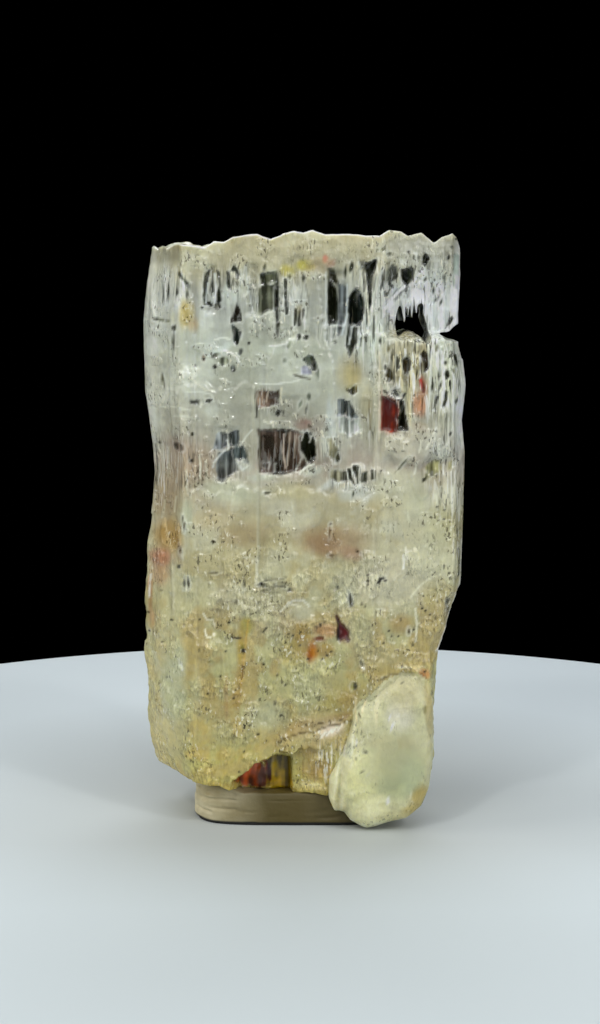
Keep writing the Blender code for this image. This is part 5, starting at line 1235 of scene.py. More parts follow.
def measured(x, y, z):
    """What a finish needs to know of each point: its place, its pixel, if it is seen, and the clouds."""
    u, v = photo_pixels(x, y, z)
    at = SimpleNamespace(x=x, y=y, z=z, u=u, v=v, seen=1.0 - smooth(y, *SEEN_TO_Y))
    for name, values in CLOUDS.items():
        setattr(at, name, cloud(x, y, z, *values))
    at.needles = NEEDLE_STRENGTH * at.needles
    at.clusters = smooth(at.clusters, *CLUSTER_EDGE)
    at.sparse = smooth(at.sparse, *SPARSE_EDGE)
    return at


def pigment(z, share):
    """Linear colour at each height, between the two of each pair by a share."""
    heights = [height for height, _, _ in PIGMENTS]
    pair = []
    for choice in (1, 2):
        colours = np.array([linear(row[choice]) for row in PIGMENTS])
        pair.append(np.column_stack([np.interp(z, heights, colours[:, channel]) for channel in range(3)]))
    return pair[0] + share[:, None] * (pair[1] - pair[0])


def blend(tint, colour, cover):
    """Move each tint towards one colour by its cover."""
    return tint + np.clip(cover, 0.0, 1.0)[:, None] * (linear(colour) - tint)


def strongest(places, u, v):
    """Highest of several soft masks, each times its strength."""
    share = np.zeros(len(u))
    for middle_u, middle_v, half_u, half_v, tilt, strength in places:
        share = np.maximum(share, strength * soft_mask(u, v, middle_u, middle_v, half_u, half_v, tilt))
    return share


print("pigment at half height:", pigment(np.array([26.0]), np.array([0.5])).round(2).tolist()[0])

# %% [markdown]
# ## Veils, the back and the crown
#
# The milky parts take the pigment of their height with the stains and pale patches over it, and
# streaks and wisps lighten or darken the sum. The photograph doesn't show the back, so there the
# skin follows the height alone, as on other beryl: fibrous near the top and etched near the foot.
# The broken crown is frosted, with a painted highlight along its front edge and painted shade on the top
# behind it.

# %% Veils, skin, back and crown
# Pixels by which streaks move a stain's edge sideways, and mottle moves it up or down.
STAIN_WOBBLE = (2.0, 3.0)
MOTTLE_FROST = 0.08
TONE_LIMITS = (0.3, 1.5)
CROWN_SKIN = (0.0, 0.5, 0.3)
# Colour of the painted highlight along the crown's front edge.
CROWN_PAINTED_HIGHLIGHT = "#dedbe0"
# The hidden back: how fibrous at its top, how etched at its foot, how clear its streaks.
BACK_FIBROUS = 0.5
BACK_ETCHED = 0.6
BACK_CLEAR = 0.55


def veil_tint(at):
    """Pigment in patches, with stains and pale patches over it, times one plus the texture."""
    tint = pigment(at.z, smooth(at.patches, -0.25, 0.30))
    u = at.u + STAIN_WOBBLE[0] * at.streaks
    v = at.v + STAIN_WOBBLE[1] * at.mottle
    for middle_u, middle_v, half_u, half_v, tilt, colour, cover in STAINS + PALE:
        mask = soft_mask(u, v, middle_u, middle_v, half_u, half_v, tilt)
        tint = blend(tint, colour, at.seen * cover * mask)
    texture = along(STREAKS, at.z) * at.streaks + along(WISPS, at.z) * at.wisps
    texture = texture + 0.05 * at.mottle
    return tint * np.clip(1.0 + 1.2 * texture, *TONE_LIMITS)[:, None]


def veil_clearness(at):
    """The height's own clearness, more in the gaps of the streaks."""
    gaps = smooth(-at.streaks, 0.30, 0.75)
    return along(CLEAR_BASE, at.z) + 0.5 * along(STREAKS, at.z) * gaps


def veil_skin(at, top):
    """Shares of fibres, grain and pits: from the marks where they are seen, else from the height."""
    seen = at.seen
    clusters = at.clusters
    back_fibrous = (1.0 - seen) * (1.0 - top) * BACK_FIBROUS * smooth(at.z, 40.0, 44.0)
    back_etched = (1.0 - seen) * BACK_ETCHED * (1.0 - smooth(at.z, 20.0, 26.0))
    fibrous = np.maximum(seen * strongest(FIBROUS, at.u, at.v), back_fibrous)
    etched = np.maximum(seen * strongest(ETCHED, at.u, at.v), back_etched)
    low = 1.0 - smooth(at.z, 22.0, 27.0)
    specks = np.maximum(etched * (0.2 + 0.8 * clusters), 0.7 * at.sparse)
    grains = 0.15 + (0.15 + 0.70 * clusters) * low
    skin = np.column_stack([fibrous, grains, specks])
    return skin + top[:, None] * (CROWN_SKIN * clusters[:, None] - skin)


def crown_top(at):
    """1 on the broken top, behind its front edge."""
    behind = smooth(at.y, FRONT_Y + 0.3, FRONT_Y + 0.9)
    return behind * smooth(at.z, 48.9, 49.6)


def crown_highlight_and_shade(at, tint, top):
    """A painted highlight along the crown's front edge, and painted shade on the top behind it."""
    # Painted highlight along the front edge, then painted shade that darkens the top behind it.
    at_edge = smooth(at.z - along(CROWN_EDGE, at.x), -0.16, -0.04)
    in_front = 1.0 - smooth(at.y, FRONT_Y + 0.2, FRONT_Y + 0.6)
    tint = blend(tint, CROWN_PAINTED_HIGHLIGHT, 0.8 * (at_edge * in_front))
    return tint * (1.0 - 0.3 * top)[:, None]


def back_clearness(at, clear):
    """Soft clear streaks in the upper half of the back face."""
    veils = smooth(at.veils, -0.1, 0.7)
    veils = veils * smooth(at.z, 28.0, 36.0) * smooth(at.y, 4.6, 6.6)
    veils = BACK_CLEAR * veils * (1.0 - smooth(at.z, 44.0, 50.0))
    return clear + veils * (0.9 - clear)


print("stains and pale patches:", len(STAINS) + len(PALE))

# %% [markdown]
# ## Lobe, windows, lines and pits
#
# The lobe is one waxy mass with a clearer pool in its middle, and painted glints and highlights on its
# edges. In a window the dark behind the crystal shows, so the tint turns to that dark, the clearness
# goes up and the frost goes down, with a painted highlight round its rim. Threads, cracks and pits
# come last, as thin opaque marks, and with them painted rim highlights along the outline.

# %% Lobe, windows, lines and pits
LOBE_MARKS_Y = -4.6
LOBE_BASE = "#bcbb96"
LOBE_FROST = 0.45
LOBE_CLEAR = 0.22
POOL_CLEAR = 0.25
# u, v, half u, half v, tilt of the clear pool, and of the smooth skin over it.
CLEAR_POOL = (396.0, 768.0, 34.0, 30.0, 0.0)
SMOOTH_SKIN = (396.0, 760.0, 32.0, 36.0, 0.0)
# The painted highlight along a window's rim, and how much the needles in it veil the view.
RIM_HIGHLIGHT_COVER = 0.45
RIM_PAINTED_HIGHLIGHT = "#e6eae0"
NEEDLE_VEIL = 0.35
# Roughness inside a window, for clear and for coloured ones, and the clearness between the two.
WINDOW_FROST = (0.06, 0.3)
WINDOW_IS_CLEAR = 0.3
# How much of the skin's fibres, grain and pits a window takes away, and the threads in it.
SMOOTH_WINDOW = (0.3, 0.8, 0.8)
THREADS_IN_WINDOW = 0.7
LINE_BLUR = 1.1
PIT_BLUR = 0.8
PIT_BROWN = "#17150d"


def lobe_tint(u, v, mottle, wisps):
    """Waxy grey-green with its own patches, and painted glints and edge highlights."""
    tint = np.tile(linear(LOBE_BASE), (len(u), 1))
    for middle_u, middle_v, half_u, half_v, tilt, colour, cover in LOBE_PATCHES_AND_GLINTS:
        mask = soft_mask(u + 1.5 * mottle, v + 2.0 * wisps, middle_u, middle_v, half_u, half_v, tilt)
        tint = blend(tint, colour, cover * mask)
    return tint * (1.0 + 0.06 * mottle + 0.05 * wisps)[:, None]


def finish_lobe(at, tint, clear, frost, skin):
    """Change the finish on the lobe: its own tints, a clear smooth pool, and a rough rim round it."""
    lobe = inside_outline(LOBE_OUTLINE, at.x, at.z) & (at.y < LOBE_MARKS_Y)
    u = at.u[lobe]
    v = at.v[lobe]
    tint[lobe] = lobe_tint(u, v, at.mottle[lobe], at.wisps[lobe])
    clear[lobe] = LOBE_CLEAR + POOL_CLEAR * soft_mask(u, v, *CLEAR_POOL)
    frost[lobe] = LOBE_FROST
    rough = 1.0 - soft_mask(u, v, *SMOOTH_SKIN)
    skin[lobe] = np.column_stack([0.0 * rough, 0.03 + 0.35 * rough, 0.5 * rough * at.sparse[lobe]])


def finish_windows(at, tint, clear, frost, skin):
    """Change the finish in each window, from its edge inwards, and paint a highlight along its rim."""
    ragged = ragged_edge(at.x, at.y, at.z)
    for near, inside, colour, clearness, _ in all_windows(at.u, at.v, ragged):
        seen = at.seen[near]
        streaks = at.streaks[near]
        needles = at.needles[near]
        mask = smooth(inside, -EDGE_SOFTNESS, EDGE_SOFTNESS)
        cover = mask * seen
        # Painted highlight: a pale line just outside the edge of each clear window.
        rim = seen * (smooth(inside, -3.2, -0.8) - mask) * smooth(streaks, -0.3, 0.3) * clearness
        tint[near] = tint[near] + RIM_HIGHLIGHT_COVER * rim[:, None] * (linear(RIM_PAINTED_HIGHLIGHT) - tint[near])
        shade = 1.0 + streaks + 0.5 * at.wisps[near] + needles
        shade = np.clip(shade, 0.3, 2.2)[:, None]
        tint[near] = tint[near] + cover[:, None] * (colour * shade - tint[near])
        through = clearness - NEEDLE_VEIL * np.clip(needles, 0.0, 1.0)
        clear[near] = clear[near] + cover * (through - clear[near])
        roughness = WINDOW_FROST[0] if clearness > WINDOW_IS_CLEAR else WINDOW_FROST[1]
        frost[near] = frost[near] + cover * (roughness - frost[near])
        red = smooth(colour[:, 0] / colour[:, 1], 2.5, 4.0)
        smoother = np.maximum(SMOOTH_WINDOW, 0.95 * red[:, None])
        skin[near] = skin[near] * (1.0 - cover[:, None] * smoother)
        threads = THREADS_IN_WINDOW * cover * smooth(clearness, 0.5, 0.8)
        skin[near, 0] = np.maximum(skin[near, 0], threads)


def finish_lines_and_pits(at, tint, clear):
    """Lay threads, cracks, round pits and painted rim highlights over everything, opaque, with blurred edges.
    """
    u = at.u
    v = at.v
    for half_width, colour, cover, places in LINES:
        points = np.reshape(places, (-1, 2))
        core = 0.5 * half_width
        fade = smooth(line_distance(u, v, points), core, core + LINE_BLUR)
        mask = at.seen * cover * (1.0 - fade)
        tint[:] = blend(tint, colour, mask)
        clear *= 1.0 - mask
    for middle_u, middle_v, radius in PITS:
        fade = smooth(np.hypot(u - middle_u, v - middle_v), radius - PIT_BLUR, radius + PIT_BLUR)
        mask = at.seen * (1.0 - fade)
        tint[:] = blend(tint, PIT_BROWN, mask)
        clear *= 1.0 - mask


print("windows:", len(CUTS) + len(WINDOWS), "lines:", len(LINES), "pits:", len(PITS))

# %% [markdown]
# ## All finishes together
#
# The finishes are laid over each other in one order, and the result is kept on the mesh as point
# attributes, which the material reads. Attributes need no image and no unwrapping. The tints are
# named as the eye sees them, so they are divided by how bright the lights make a white surface,
# and raised where part of the light goes through instead of coming back.

# %% Finish of every point
LIT = 0.85
LIGHT_LOST_THROUGH = 0.85
# Corners of the hole in the photograph, whose walls are in shade.
HOLE_WALL = ((394, 299), (429, 299), (433, 345), (394, 345))
HOLE_SHADE = 0.8


def crystal_finish(x, y, z):
    """Tint, clearness, frost and skin of every point: veils, crown, back, lobe, windows, then marks."""
    at = measured(x, y, z)
    top = crown_top(at)
    tint = crown_highlight_and_shade(at, veil_tint(at), top)
    clear = back_clearness(at, veil_clearness(at))
    frost = along(FROST, z) + MOTTLE_FROST * at.mottle
    skin = veil_skin(at, top)
    finish_lobe(at, tint, clear, frost, skin)
    finish_windows(at, tint, clear, frost, skin)
    finish_lines_and_pits(at, tint, clear)
    deep = inside_outline(HOLE_WALL, at.u, at.v) * smooth(y, -4.4, -3.6) * (y < 0.6)
    tint = tint * (1.0 - HOLE_SHADE * deep)[:, None]
    clear = np.clip(clear, 0.0, 1.0)
    tint = tint / (LIT * (1.0 - LIGHT_LOST_THROUGH * clear))[:, None]
    return np.clip(tint, 0.003, 0.94), clear, np.clip(frost, 0.04, 0.8), np.clip(skin, 0.0, 1.0)


def set_attribute(mesh, name, kind, values):
    """Store one value or colour for each point of a mesh."""
    attribute = mesh.attributes.new(name, kind, "POINT")
    field = "color" if kind == "FLOAT_COLOR" else "value"
    attribute.data.foreach_set(field, np.ascontiguousarray(values, np.float32).ravel())


def points_of(mesh):
    """Points of a mesh in the drawing's own mm."""
    flat = np.empty(3 * len(mesh.vertices), np.float32)
    mesh.vertices.foreach_get("co", flat)
    x, y, z = flat.reshape(-1, 3).astype(float).T / MM
    return x + PART_CENTRE[0], y + PART_CENTRE[1], z


tint, clear, frost, skin = crystal_finish(*points_of(crystal.data))
opaque = np.ones(len(tint))
set_attribute(crystal.data, "tint", "FLOAT_COLOR", np.column_stack([tint, opaque]))
set_attribute(crystal.data, "skin", "FLOAT_COLOR", np.column_stack([skin, opaque]))
set_attribute(crystal.data, "clear", "FLOAT", clear)
set_attribute(crystal.data, "frost", "FLOAT", frost)
crystal.data.polygons.foreach_set("use_smooth", np.ones(len(crystal.data.polygons), bool))
print("mean clearness:", round(float(clear.mean()), 2))

# %% [markdown]
# ## Beryl
#
# Beryl bends light by a factor of 1.57 to 1.58 and has a greasy to glassy shine. One Principled
# shader does it all: transmission for the clear windows and an ordinary surface where veils
# scatter the light. The volume takes out a little blue over a few millimetres. The fine texture
# is noise stretched to the size of the real fibres, grains and etch pits.

# %% Beryl material
def add_node(tree, kind, values=None, links=None, **settings):
    """Add a node with its settings, its socket values and the links into it."""
    node = tree.nodes.new(kind)
    for name, value in settings.items():
        setattr(node, name, value)
    for name, value in (values or {}).items():
        node.inputs[name].default_value = value
    for name, socket in (links or {}).items():
        tree.links.new(socket, node.inputs[name])
    return node


def new_material(name):
    """An empty node tree with only an output."""
    material = bpy.data.materials.new(name)
    material.use_nodes = True
    tree = material.node_tree
    tree.nodes.clear()
    return material, tree, add_node(tree, "ShaderNodeOutputMaterial")


def stretched(tree, place, scale):
    """Coordinates in which one unit is the size of one lump, from lumps per mm along each axis."""
    return add_node(tree, "ShaderNodeMapping", {"Scale": tuple(axis / MM for axis in scale)},
                    {"Vector": place.outputs["Object"]}).outputs[0]


def ramp(tree, socket, low, high, start=0.0, end=1.0):
    """A value that goes from start to end as the socket goes from low to high."""
    values = {"From Min": low, "From Max": high, "To Min": start, "To Max": end}
    return add_node(tree, "ShaderNodeMapRange", values, {"Value": socket}).outputs[0]


def product(tree, first, second):
    """Two sockets multiplied, or a socket and a number."""
    node = add_node(tree, "ShaderNodeMath", {}, {0: first}, operation="MULTIPLY")
    if isinstance(second, float):
        node.inputs[1].default_value = second
    else:
        tree.links.new(second, node.inputs[1])
    return node.outputs[0]


def mixed(tree, share, first, colour):
    """A colour mixed by a share over another, which is a socket or a hex code."""
    node = add_node(tree, "ShaderNodeMix", {}, {0: share}, data_type="RGBA")
    node.inputs[7].default_value = (*linear(colour), 1.0)
    if isinstance(first, str):
        node.inputs[6].default_value = (*linear(first), 1.0)
    else:
        tree.links.new(first, node.inputs[6])
    return node.outputs[2]


# Cells per mm across, through and up: tall thin fibres, threads between them, and so on. The real
# ones go down to a few hundredths of a millimetre, and these are as coarse as it takes to show.
FIBRE_CELLS = (3.0, 3.0, 0.25)
THREAD_CELLS = (4.2, 4.2, 0.42)
GRAIN_CELLS = (5.0, 5.0, 2.0)
PATCH_CELLS = (0.9, 0.9, 0.8)
SPECK_CELLS = (4.6, 4.6, 2.3)
SHARD_CELLS = (2.6, 2.6, 0.40)
FLAKE_CELLS = (1.5, 1.5, 1.9)
# How much lighter and darker each texture makes the tint, as a share of it.
PATCH_TONE = 0.05
SHARD_TONE = 0.30
FLAKE_TONE = 0.14
FIBRE_TONE = 0.26
GRAIN_TONE = 0.22
# How much a thread, sliver, etch pit or painted glint covers.
SLIVER_COVER = 0.95
BUMP_HEIGHT = 0.18
# Light scatters under the skin of milky beryl over about a millimetre, red a little further.
SCATTER_RADIUS = (1.0, 0.95, 0.75)
SCATTER_MM = 0.8
# What goes through a few millimetres comes out a weak green-yellow.
THROUGH_COLOUR = (0.90, 0.93, 0.80, 1.0)
THROUGH_DENSITY = 60.0


def noise(tree, place, cells, detail, roughness=0.5, distortion=0.0):
    """Fractal noise with so many cells per mm, whose values lie around a half."""
    return add_node(tree, "ShaderNodeTexNoise",
                    {"Scale": 1.0, "Detail": detail, "Roughness": roughness, "Distortion": distortion},
                    {"Vector": stretched(tree, place, cells)}).outputs["Fac"]


def total(tree, first, second):
    """Two sockets added."""
    return add_node(tree, "ShaderNodeMath", {}, {0: first, 1: second}, operation="ADD").outputs[0]


def broken_cells(tree, coordinates, bend, share):
    """Voronoi cells whose borders are bent by a noise colour, so that they look broken."""
    place = add_node(tree, "ShaderNodeVectorMath", {1: (share, share, share)}, {0: bend, 2: coordinates},
                     operation="MULTIPLY_ADD")
    return add_node(tree, "ShaderNodeTexVoronoi", {"Scale": 1.0}, {"Vector": place.outputs[0]})


def first_channel(tree, cells):
    """A random value for each cell."""
    return add_node(tree, "ShaderNodeSeparateColor", {}, {0: cells.outputs["Color"]}).outputs[0]


def even_noise(tree, place, cells, detail):
    """Noise with so many cells per mm, the same along every axis."""
    return add_node(tree, "ShaderNodeTexNoise", {"Scale": cells / MM, "Detail": detail},
                    {"Vector": place.outputs["Object"]})


def toned(tree, socket, low, high, depth, share):
    """From minus the depth to plus the depth as the socket goes from low to high, times a share."""
    return product(tree, ramp(tree, socket, low, high, -depth, depth), share)


def slivers(tree, colour, socket, edge, share, sliver):
    """Lay slivers of another colour over it where the socket has passed an edge."""
    cover = ramp(tree, socket, *edge, 0.0, SLIVER_COVER)
    return mixed(tree, product(tree, cover, share), colour, sliver)


def beryl_material():
    """Goshenite, etched and iron-stained: greasy shine over milky veils and clear windows."""
    material, tree, output = new_material("goshenite_beryl")
    tint_in = add_node(tree, "ShaderNodeAttribute", attribute_name="tint")
    clear_in = add_node(tree, "ShaderNodeAttribute", attribute_name="clear")
    frost_in = add_node(tree, "ShaderNodeAttribute", attribute_name="frost")
    skin_in = add_node(tree, "ShaderNodeAttribute", attribute_name="skin")
    skin_parts = add_node(tree, "ShaderNodeSeparateColor", {}, {0: skin_in.outputs["Color"]})
    fibre_share, grain_share, speck_share = skin_parts.outputs
    place = add_node(tree, "ShaderNodeTexCoord")

    # Soft milky patches
    patches = noise(tree, place, PATCH_CELLS, 5.0, 0.6, 0.5)
    patch_tone = ramp(tree, patches, 0.35, 0.65, -PATCH_TONE, PATCH_TONE)

    # Broken surfaces: shards stand tall, flakes lie anywhere, and each has its own tone
    bend = even_noise(tree, place, 0.9, 2.0).outputs["Color"]
    shards = broken_cells(tree, stretched(tree, place, SHARD_CELLS), bend, 0.5)
    flakes = broken_cells(tree, stretched(tree, place, FLAKE_CELLS), bend, 1.4)
    shard_tone = toned(tree, first_channel(tree, shards), 0.0, 1.0, SHARD_TONE, fibre_share)
    flake_tone = toned(tree, first_channel(tree, flakes), 0.0, 1.0, FLAKE_TONE, grain_share)

    # Fibres lighten and darken, grain does it on a smaller scale
    fibres = noise(tree, place, FIBRE_CELLS, 4.0, 0.6)
    grain = noise(tree, place, GRAIN_CELLS, 3.0, 0.6, 0.4)
    fibre_tone = toned(tree, fibres, 0.32, 0.68, FIBRE_TONE, fibre_share)
    grain_tone = toned(tree, grain, 0.35, 0.65, GRAIN_TONE, grain_share)
    small_tone = total(tree, total(tree, fibre_tone, grain_tone), patch_tone)
    all_tones = total(tree, small_tone, total(tree, shard_tone, flake_tone))
    tone = add_node(tree, "ShaderNodeMath", {1: 1.0}, {0: all_tones}, operation="ADD")
    colour = add_node(tree, "ShaderNodeVectorMath", {}, {0: tint_in.outputs["Color"], 1: tone.outputs[0]},
                      operation="MULTIPLY").outputs[0]

    # White threads and dark slivers between the fibres
    threads = noise(tree, place, THREAD_CELLS, 2.0, 0.5, 0.5)
    colour = slivers(tree, colour, threads, (0.57, 0.61), fibre_share, "#fafcf4")
    colour = slivers(tree, colour, threads, (0.41, 0.37), fibre_share, "#2c2d22")

    # Etch pits, and pale specks that are painted glints
    specks = noise(tree, place, SPECK_CELLS, 1.5, 0.5, 0.3)
    colour = slivers(tree, colour, specks, (0.395, 0.35), speck_share, "#3e361c")
    colour = slivers(tree, colour, specks, (0.62, 0.67), speck_share, "#fbf9e4")

    # The same textures raise the skin a little
    grain_height = product(tree, grain, product(tree, grain_share, 0.5))
    rough_height = total(tree, grain_height, product(tree, specks, speck_share))
    tall_height = product(tree, fibres, fibre_share)
    facets = product(tree, flakes.outputs["Distance"], product(tree, grain_share, 1.0))
    height = total(tree, total(tree, rough_height, tall_height), facets)
    bump = add_node(tree, "ShaderNodeBump", {"Strength": 0.9, "Distance": BUMP_HEIGHT * MM},
                    {"Height": height}).outputs[0]
    shader = add_node(tree, "ShaderNodeBsdfPrincipled",
                      {"IOR": BERYL_IOR, "Subsurface Weight": 0.85,
                       "Subsurface Radius": SCATTER_RADIUS, "Subsurface Scale": SCATTER_MM * MM},
                      {"Base Color": colour, "Roughness": frost_in.outputs["Fac"],
                       "Transmission Weight": clear_in.outputs["Fac"], "Normal": bump})
    tree.links.new(shader.outputs[0], output.inputs["Surface"])
    depth = add_node(tree, "ShaderNodeVolumeAbsorption", {"Color": THROUGH_COLOUR, "Density": THROUGH_DENSITY})
    tree.links.new(depth.outputs[0], output.inputs["Volume"])
    return material


crystal.data.materials.clear()
crystal.data.materials.append(beryl_material())
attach(crystal, "root")
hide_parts("goshenite_crystal")
print("crystal material:", crystal.data.materials[0].name)

# %% [markdown]
# ## Mounting putty
#
# The putty is the soft white kind that holds minerals on a stand. Fingers have pressed it into a
# slab with round corners, and it keeps their creases. It is a rounded rectangle carried up a
# bulging side, and its top follows the underside of the crystal.

# %% Putty pad
PAD_X = (-9.7, 9.0)
PAD_Y = (-5.0, 5.8)
PAD_RIM_Z = 3.0
PAD_COLUMNS = 260
PAD_CORNER_POWER = 4.0
# Profile of the side: share of the plan, then share of the rim's height.
PAD_SIDE = ((0.6, 0.0), (0.945, 0.0), (0.952, 0.035), (0.984, 0.075), (0.994, 0.14), (0.9985, 0.3),
            (1.0, 0.5), (1.0, 0.7), (0.997, 0.82), (0.988, 0.92), (0.972, 0.98))
# The putty is pressed this far against the crystal.
PAD_PRESSED = 0.06
# Finger dents, small dents and creases: depth in mm, size of the lumps and seed.
FINGER_DENTS = (0.12, (1.5, 1.5, 1.0), 31)
SMALL_DENTS = ((0.05, (0.9, 0.9, 0.6), 32),)
CREASES = (0.10, (2.2, 2.2, 0.25), 33)
# Noise in cells per mm: broad patches, then the fine texture of the skin.
BROAD_CELLS = 0.26
FINE_CELLS = 2.6
PUTTY_GREY = "#a0946e"
PUTTY_CREAM = "#cfc6a4"
# Painted shade on the right of the front, where the crystal shades the putty, then the painted contact shadow
# along the foot, in mm.
PUTTY_PAINTED_SHADE = "#4a3e0c"
PAINTED_SHADE_X = (-6.5, -1.0)
PAINTED_SHADE_Y = (0.0, -3.0)
FOOT_SHADOW = "#0b0a07"
FOOT_Z = (0.4, 0.25)
PUTTY_BUMP = 0.12


def pad_plan(share):
    """Superellipse of power 4: a rectangle with round corners, drawn in by a share."""
    angle = np.linspace(0.0, 2.0 * math.pi, PAD_COLUMNS, endpoint=False)
    power = 2.0 / PAD_CORNER_POWER
    round_x = np.sign(np.cos(angle)) * np.abs(np.cos(angle)) ** power
    round_y = np.sign(np.sin(angle)) * np.abs(np.sin(angle)) ** power
    x = 0.5 * (PAD_X[0] + PAD_X[1]) + 0.5 * (PAD_X[1] - PAD_X[0]) * round_x * share
    y = 0.5 * (PAD_Y[0] + PAD_Y[1]) + 0.5 * (PAD_Y[1] - PAD_Y[0]) * round_y * share
    return x, y


def pad_grid():
    """Rings from the foot, up the dented side, then over the top to the middle."""
    half_depth = 0.5 * (PAD_Y[1] - PAD_Y[0])
    finger_depth, *finger_lumps = FINGER_DENTS
    crease_depth, *crease_lumps = CREASES
    side = np.array(PAD_SIDE)
    steps = np.linspace(0.0, len(side) - 1.0, 46)
    shares = np.interp(steps, np.arange(len(side)), side[:, 0])
    rises = np.interp(steps, np.arange(len(side)), side[:, 1])
    rings = []
    for share, rise in zip(shares, rises):
        x, y = pad_plan(share)
        height = rise * PAD_RIM_Z
        dent = finger_depth * (1.0 + lumps(x, y, rise, *finger_lumps))
        dent = dent + layered(x, y, height, SMALL_DENTS)
        dent = dent + crease_depth * smooth(lumps(x, y, height, *crease_lumps), 0.35, 0.6)
        x, y = pad_plan(share - dent * smooth(rise, 0.0, 0.1) / half_depth)
        rings.append(np.column_stack([x, y, np.full(len(x), height)]))
    rim = rings[-1]
    rim[:, 2] = np.minimum(PAD_RIM_Z, underside(rim[:, 0], rim[:, 1]) - PAD_PRESSED)
    for share in np.linspace(0.94, 0.04, 16):
        x, y = pad_plan(share)
        rings.append(np.column_stack([x, y, underside(x, y) - PAD_PRESSED]))
    return np.array(rings)


def putty_material():
    """Mounting putty, kneaded and pressed: a soft satin skin, off-white and greyer in patches, with painted
    shade on the right of its front and a painted contact shadow along its foot.
    """
    material, tree, output = new_material("mounting_putty")
    place = add_node(tree, "ShaderNodeTexCoord")
    broad = even_noise(tree, place, BROAD_CELLS, 4.0).outputs["Fac"]
    fine = even_noise(tree, place, FINE_CELLS, 3.0).outputs["Fac"]
    pale = mixed(tree, ramp(tree, broad, 0.40, 0.60), PUTTY_GREY, PUTTY_CREAM)
    sides = add_node(tree, "ShaderNodeSeparateXYZ", {}, {0: place.outputs["Object"]})
    right = total(tree, sides.outputs[0], product(tree, broad, 4.0 * MM))
    # Painted shade: the right part of the front turns olive brown where the crystal shades it, and the foot
    # turns near-black as a contact shadow.
    in_front = ramp(tree, sides.outputs[1], PAINTED_SHADE_Y[0] * MM, PAINTED_SHADE_Y[1] * MM)
    shaded_share = product(tree, ramp(tree, right, PAINTED_SHADE_X[0] * MM, PAINTED_SHADE_X[1] * MM), in_front)
    colour = mixed(tree, product(tree, shaded_share, 0.95), pale, PUTTY_PAINTED_SHADE)
    colour = mixed(tree, ramp(tree, sides.outputs[2], FOOT_Z[0] * MM, FOOT_Z[1] * MM), colour, FOOT_SHADOW)
    rough = ramp(tree, fine, 0.0, 1.0, 0.45, 0.65)
    bump = add_node(tree, "ShaderNodeBump", {"Strength": 0.35, "Distance": PUTTY_BUMP * MM}, {"Height": fine})
    shader = add_node(tree, "ShaderNodeBsdfPrincipled", {"IOR": 1.48},
                      {"Base Color": colour, "Roughness": rough, "Normal": bump.outputs[0]})
    tree.links.new(shader.outputs[0], output.inputs["Surface"])
    return material


putty = add_object("putty_pad", ring_mesh("putty_pad", pad_grid()))
putty.data.polygons.foreach_set("use_smooth", np.ones(len(putty.data.polygons), bool))
putty.data.materials.append(putty_material())
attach(putty, "root")
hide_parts("mounting_putty")
print("putty faces:", len(putty.data.polygons))

# %% [markdown]
# ## Floor and light
#
# The specimen stands on a round white stage in front of a black room. Large soft lights above and
# in front keep the milky parts even, and one behind the crown draws a thin bright rim.

# %% Round stage
STAGE_RADIUS = 73.0
# Radius and height of each ring: below, up the rim, round its edge, then in to the middle.
STAGE_RINGS = ((STAGE_RADIUS - 2.0, -4.0), (STAGE_RADIUS, -3.6), (STAGE_RADIUS, -0.8),
               (STAGE_RADIUS - 0.25, -0.25), (STAGE_RADIUS - 0.8, 0.0), (40.0, 0.0), (15.0, 0.0),
               (1.0, 0.0))
# Distances in mm over which a painted shadow round the specimen fades out, away from the middle and to the
# front.
SHADOW_FADE_RADII = (10.0, 45.0)
FRONT_FROM = (-10.0, -26.0)
STAGE_PAINTED_SHADOW = "#b6bbb9"
ACRYLIC_WHITE = "#cdd6d8"
ACRYLIC_FRONT = "#ced7d9"


def stage_grid():
    """A flat disc with a rounded rim, from below, over its edge, to its middle."""
    angle = np.linspace(0.0, 2.0 * math.pi, 240, endpoint=False)
    rings = []
    for radius, z in STAGE_RINGS:
        level = np.full(len(angle), z)
        rings.append(np.column_stack([radius * np.cos(angle), radius * np.sin(angle), level]))
    return np.array(rings)


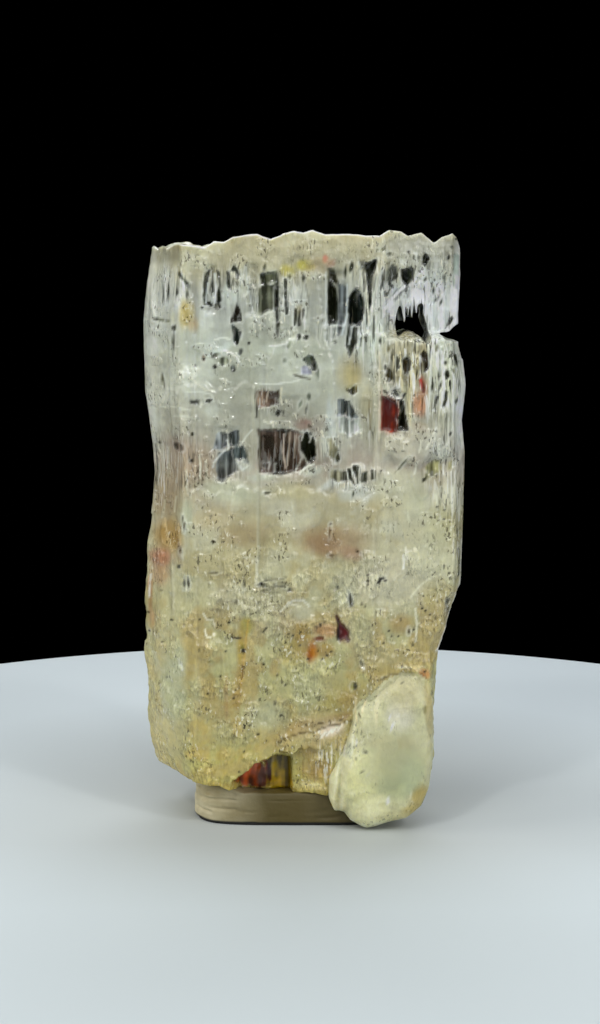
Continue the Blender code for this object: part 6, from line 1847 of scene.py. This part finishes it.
def stage_material():
    """White acrylic photo stage, matt, with a painted shadow round the specimen that ends sooner towards the
    front.
    """
    material, tree, output = new_material("white_stage")
    place = add_node(tree, "ShaderNodeTexCoord")
    point = place.outputs["Object"]
    distance = add_node(tree, "ShaderNodeVectorMath", {}, {0: point}, operation="LENGTH").outputs["Value"]
    # Painted shadow: the stage is darker round the specimen and lightens with distance and towards the front.
    out_of_shadow = ramp(tree, distance, SHADOW_FADE_RADII[0] * MM, SHADOW_FADE_RADII[1] * MM)
    colour = mixed(tree, out_of_shadow, STAGE_PAINTED_SHADOW, ACRYLIC_WHITE)
    front = add_node(tree, "ShaderNodeSeparateXYZ", {}, {0: point}).outputs["Y"]
    in_front = ramp(tree, front, FRONT_FROM[0] * MM, FRONT_FROM[1] * MM)
    colour = mixed(tree, in_front, colour, ACRYLIC_FRONT)
    shader = add_node(tree, "ShaderNodeBsdfPrincipled", {"Roughness": 0.8, "IOR": 1.4},
                      {"Base Color": colour})
    tree.links.new(shader.outputs[0], output.inputs["Surface"])
    return material


stage = add_object("round_stage", ring_mesh("round_stage", stage_grid()))
stage.data.polygons.foreach_set("use_smooth", np.ones(len(stage.data.polygons), bool))
stage.data.materials.append(stage_material())

# %% Soft lights
# Name, place in mm, the point it faces, width and height in mm, power in watts, colour.
LIGHTS = (
    ("softbox_above", (-40.0, -230.0, 520.0), (0.0, -40.0, 20.0), (420.0, 420.0), 1.00, "#f4faff"),
    ("softbox_front_left", (-300.0, -440.0, 360.0), (0.0, 0.0, 28.0), (300.0, 300.0), 0.80, "#fffdf6"),
    ("softbox_left", (-480.0, -60.0, 240.0), (0.0, 0.0, 28.0), (240.0, 300.0), 0.88, "#fffdf8"),
    ("softbox_front_right", (390.0, -360.0, 260.0), (0.0, 0.0, 28.0), (260.0, 320.0), 0.95, "#f8fbff"),
    ("small_lamp_left", (-150.0, -240.0, 330.0), (0.0, 0.0, 30.0), (30.0, 30.0), 0.22, "#ffffff"),
    ("small_lamp_right", (190.0, -210.0, 300.0), (0.0, 0.0, 30.0), (30.0, 30.0), 0.22, "#ffffff"),
    ("small_lamp_low", (60.0, -330.0, 120.0), (0.0, 0.0, 30.0), (26.0, 26.0), 0.12, "#ffffff"),
    ("strip_behind", (10.0, 190.0, 230.0), (0.0, 0.0, 45.0), (260.0, 60.0), 0.40, "#f4f8ff"),
)


def add_light(name, place, aim, size, power, colour):
    """A rectangular softbox turned to face its aim."""
    data = bpy.data.lights.new(name, "AREA")
    data.shape = "RECTANGLE"
    data.size = size[0] * MM
    data.size_y = size[1] * MM
    data.energy = power
    data.color = linear(colour)
    light = bpy.data.objects.new(name, data)
    light.location = in_metres(place)
    sight = np.array(aim) - np.array(place)
    light.rotation_euler = (math.atan2(math.hypot(sight[0], sight[1]), -sight[2]), 0.0,
                            math.atan2(-sight[0], sight[1]))
    bpy.context.scene.collection.objects.link(light)


for light_values in LIGHTS:
    add_light(*light_values)
bpy.context.scene.view_settings.view_transform = "Standard"
print("lights:", len(LIGHTS))
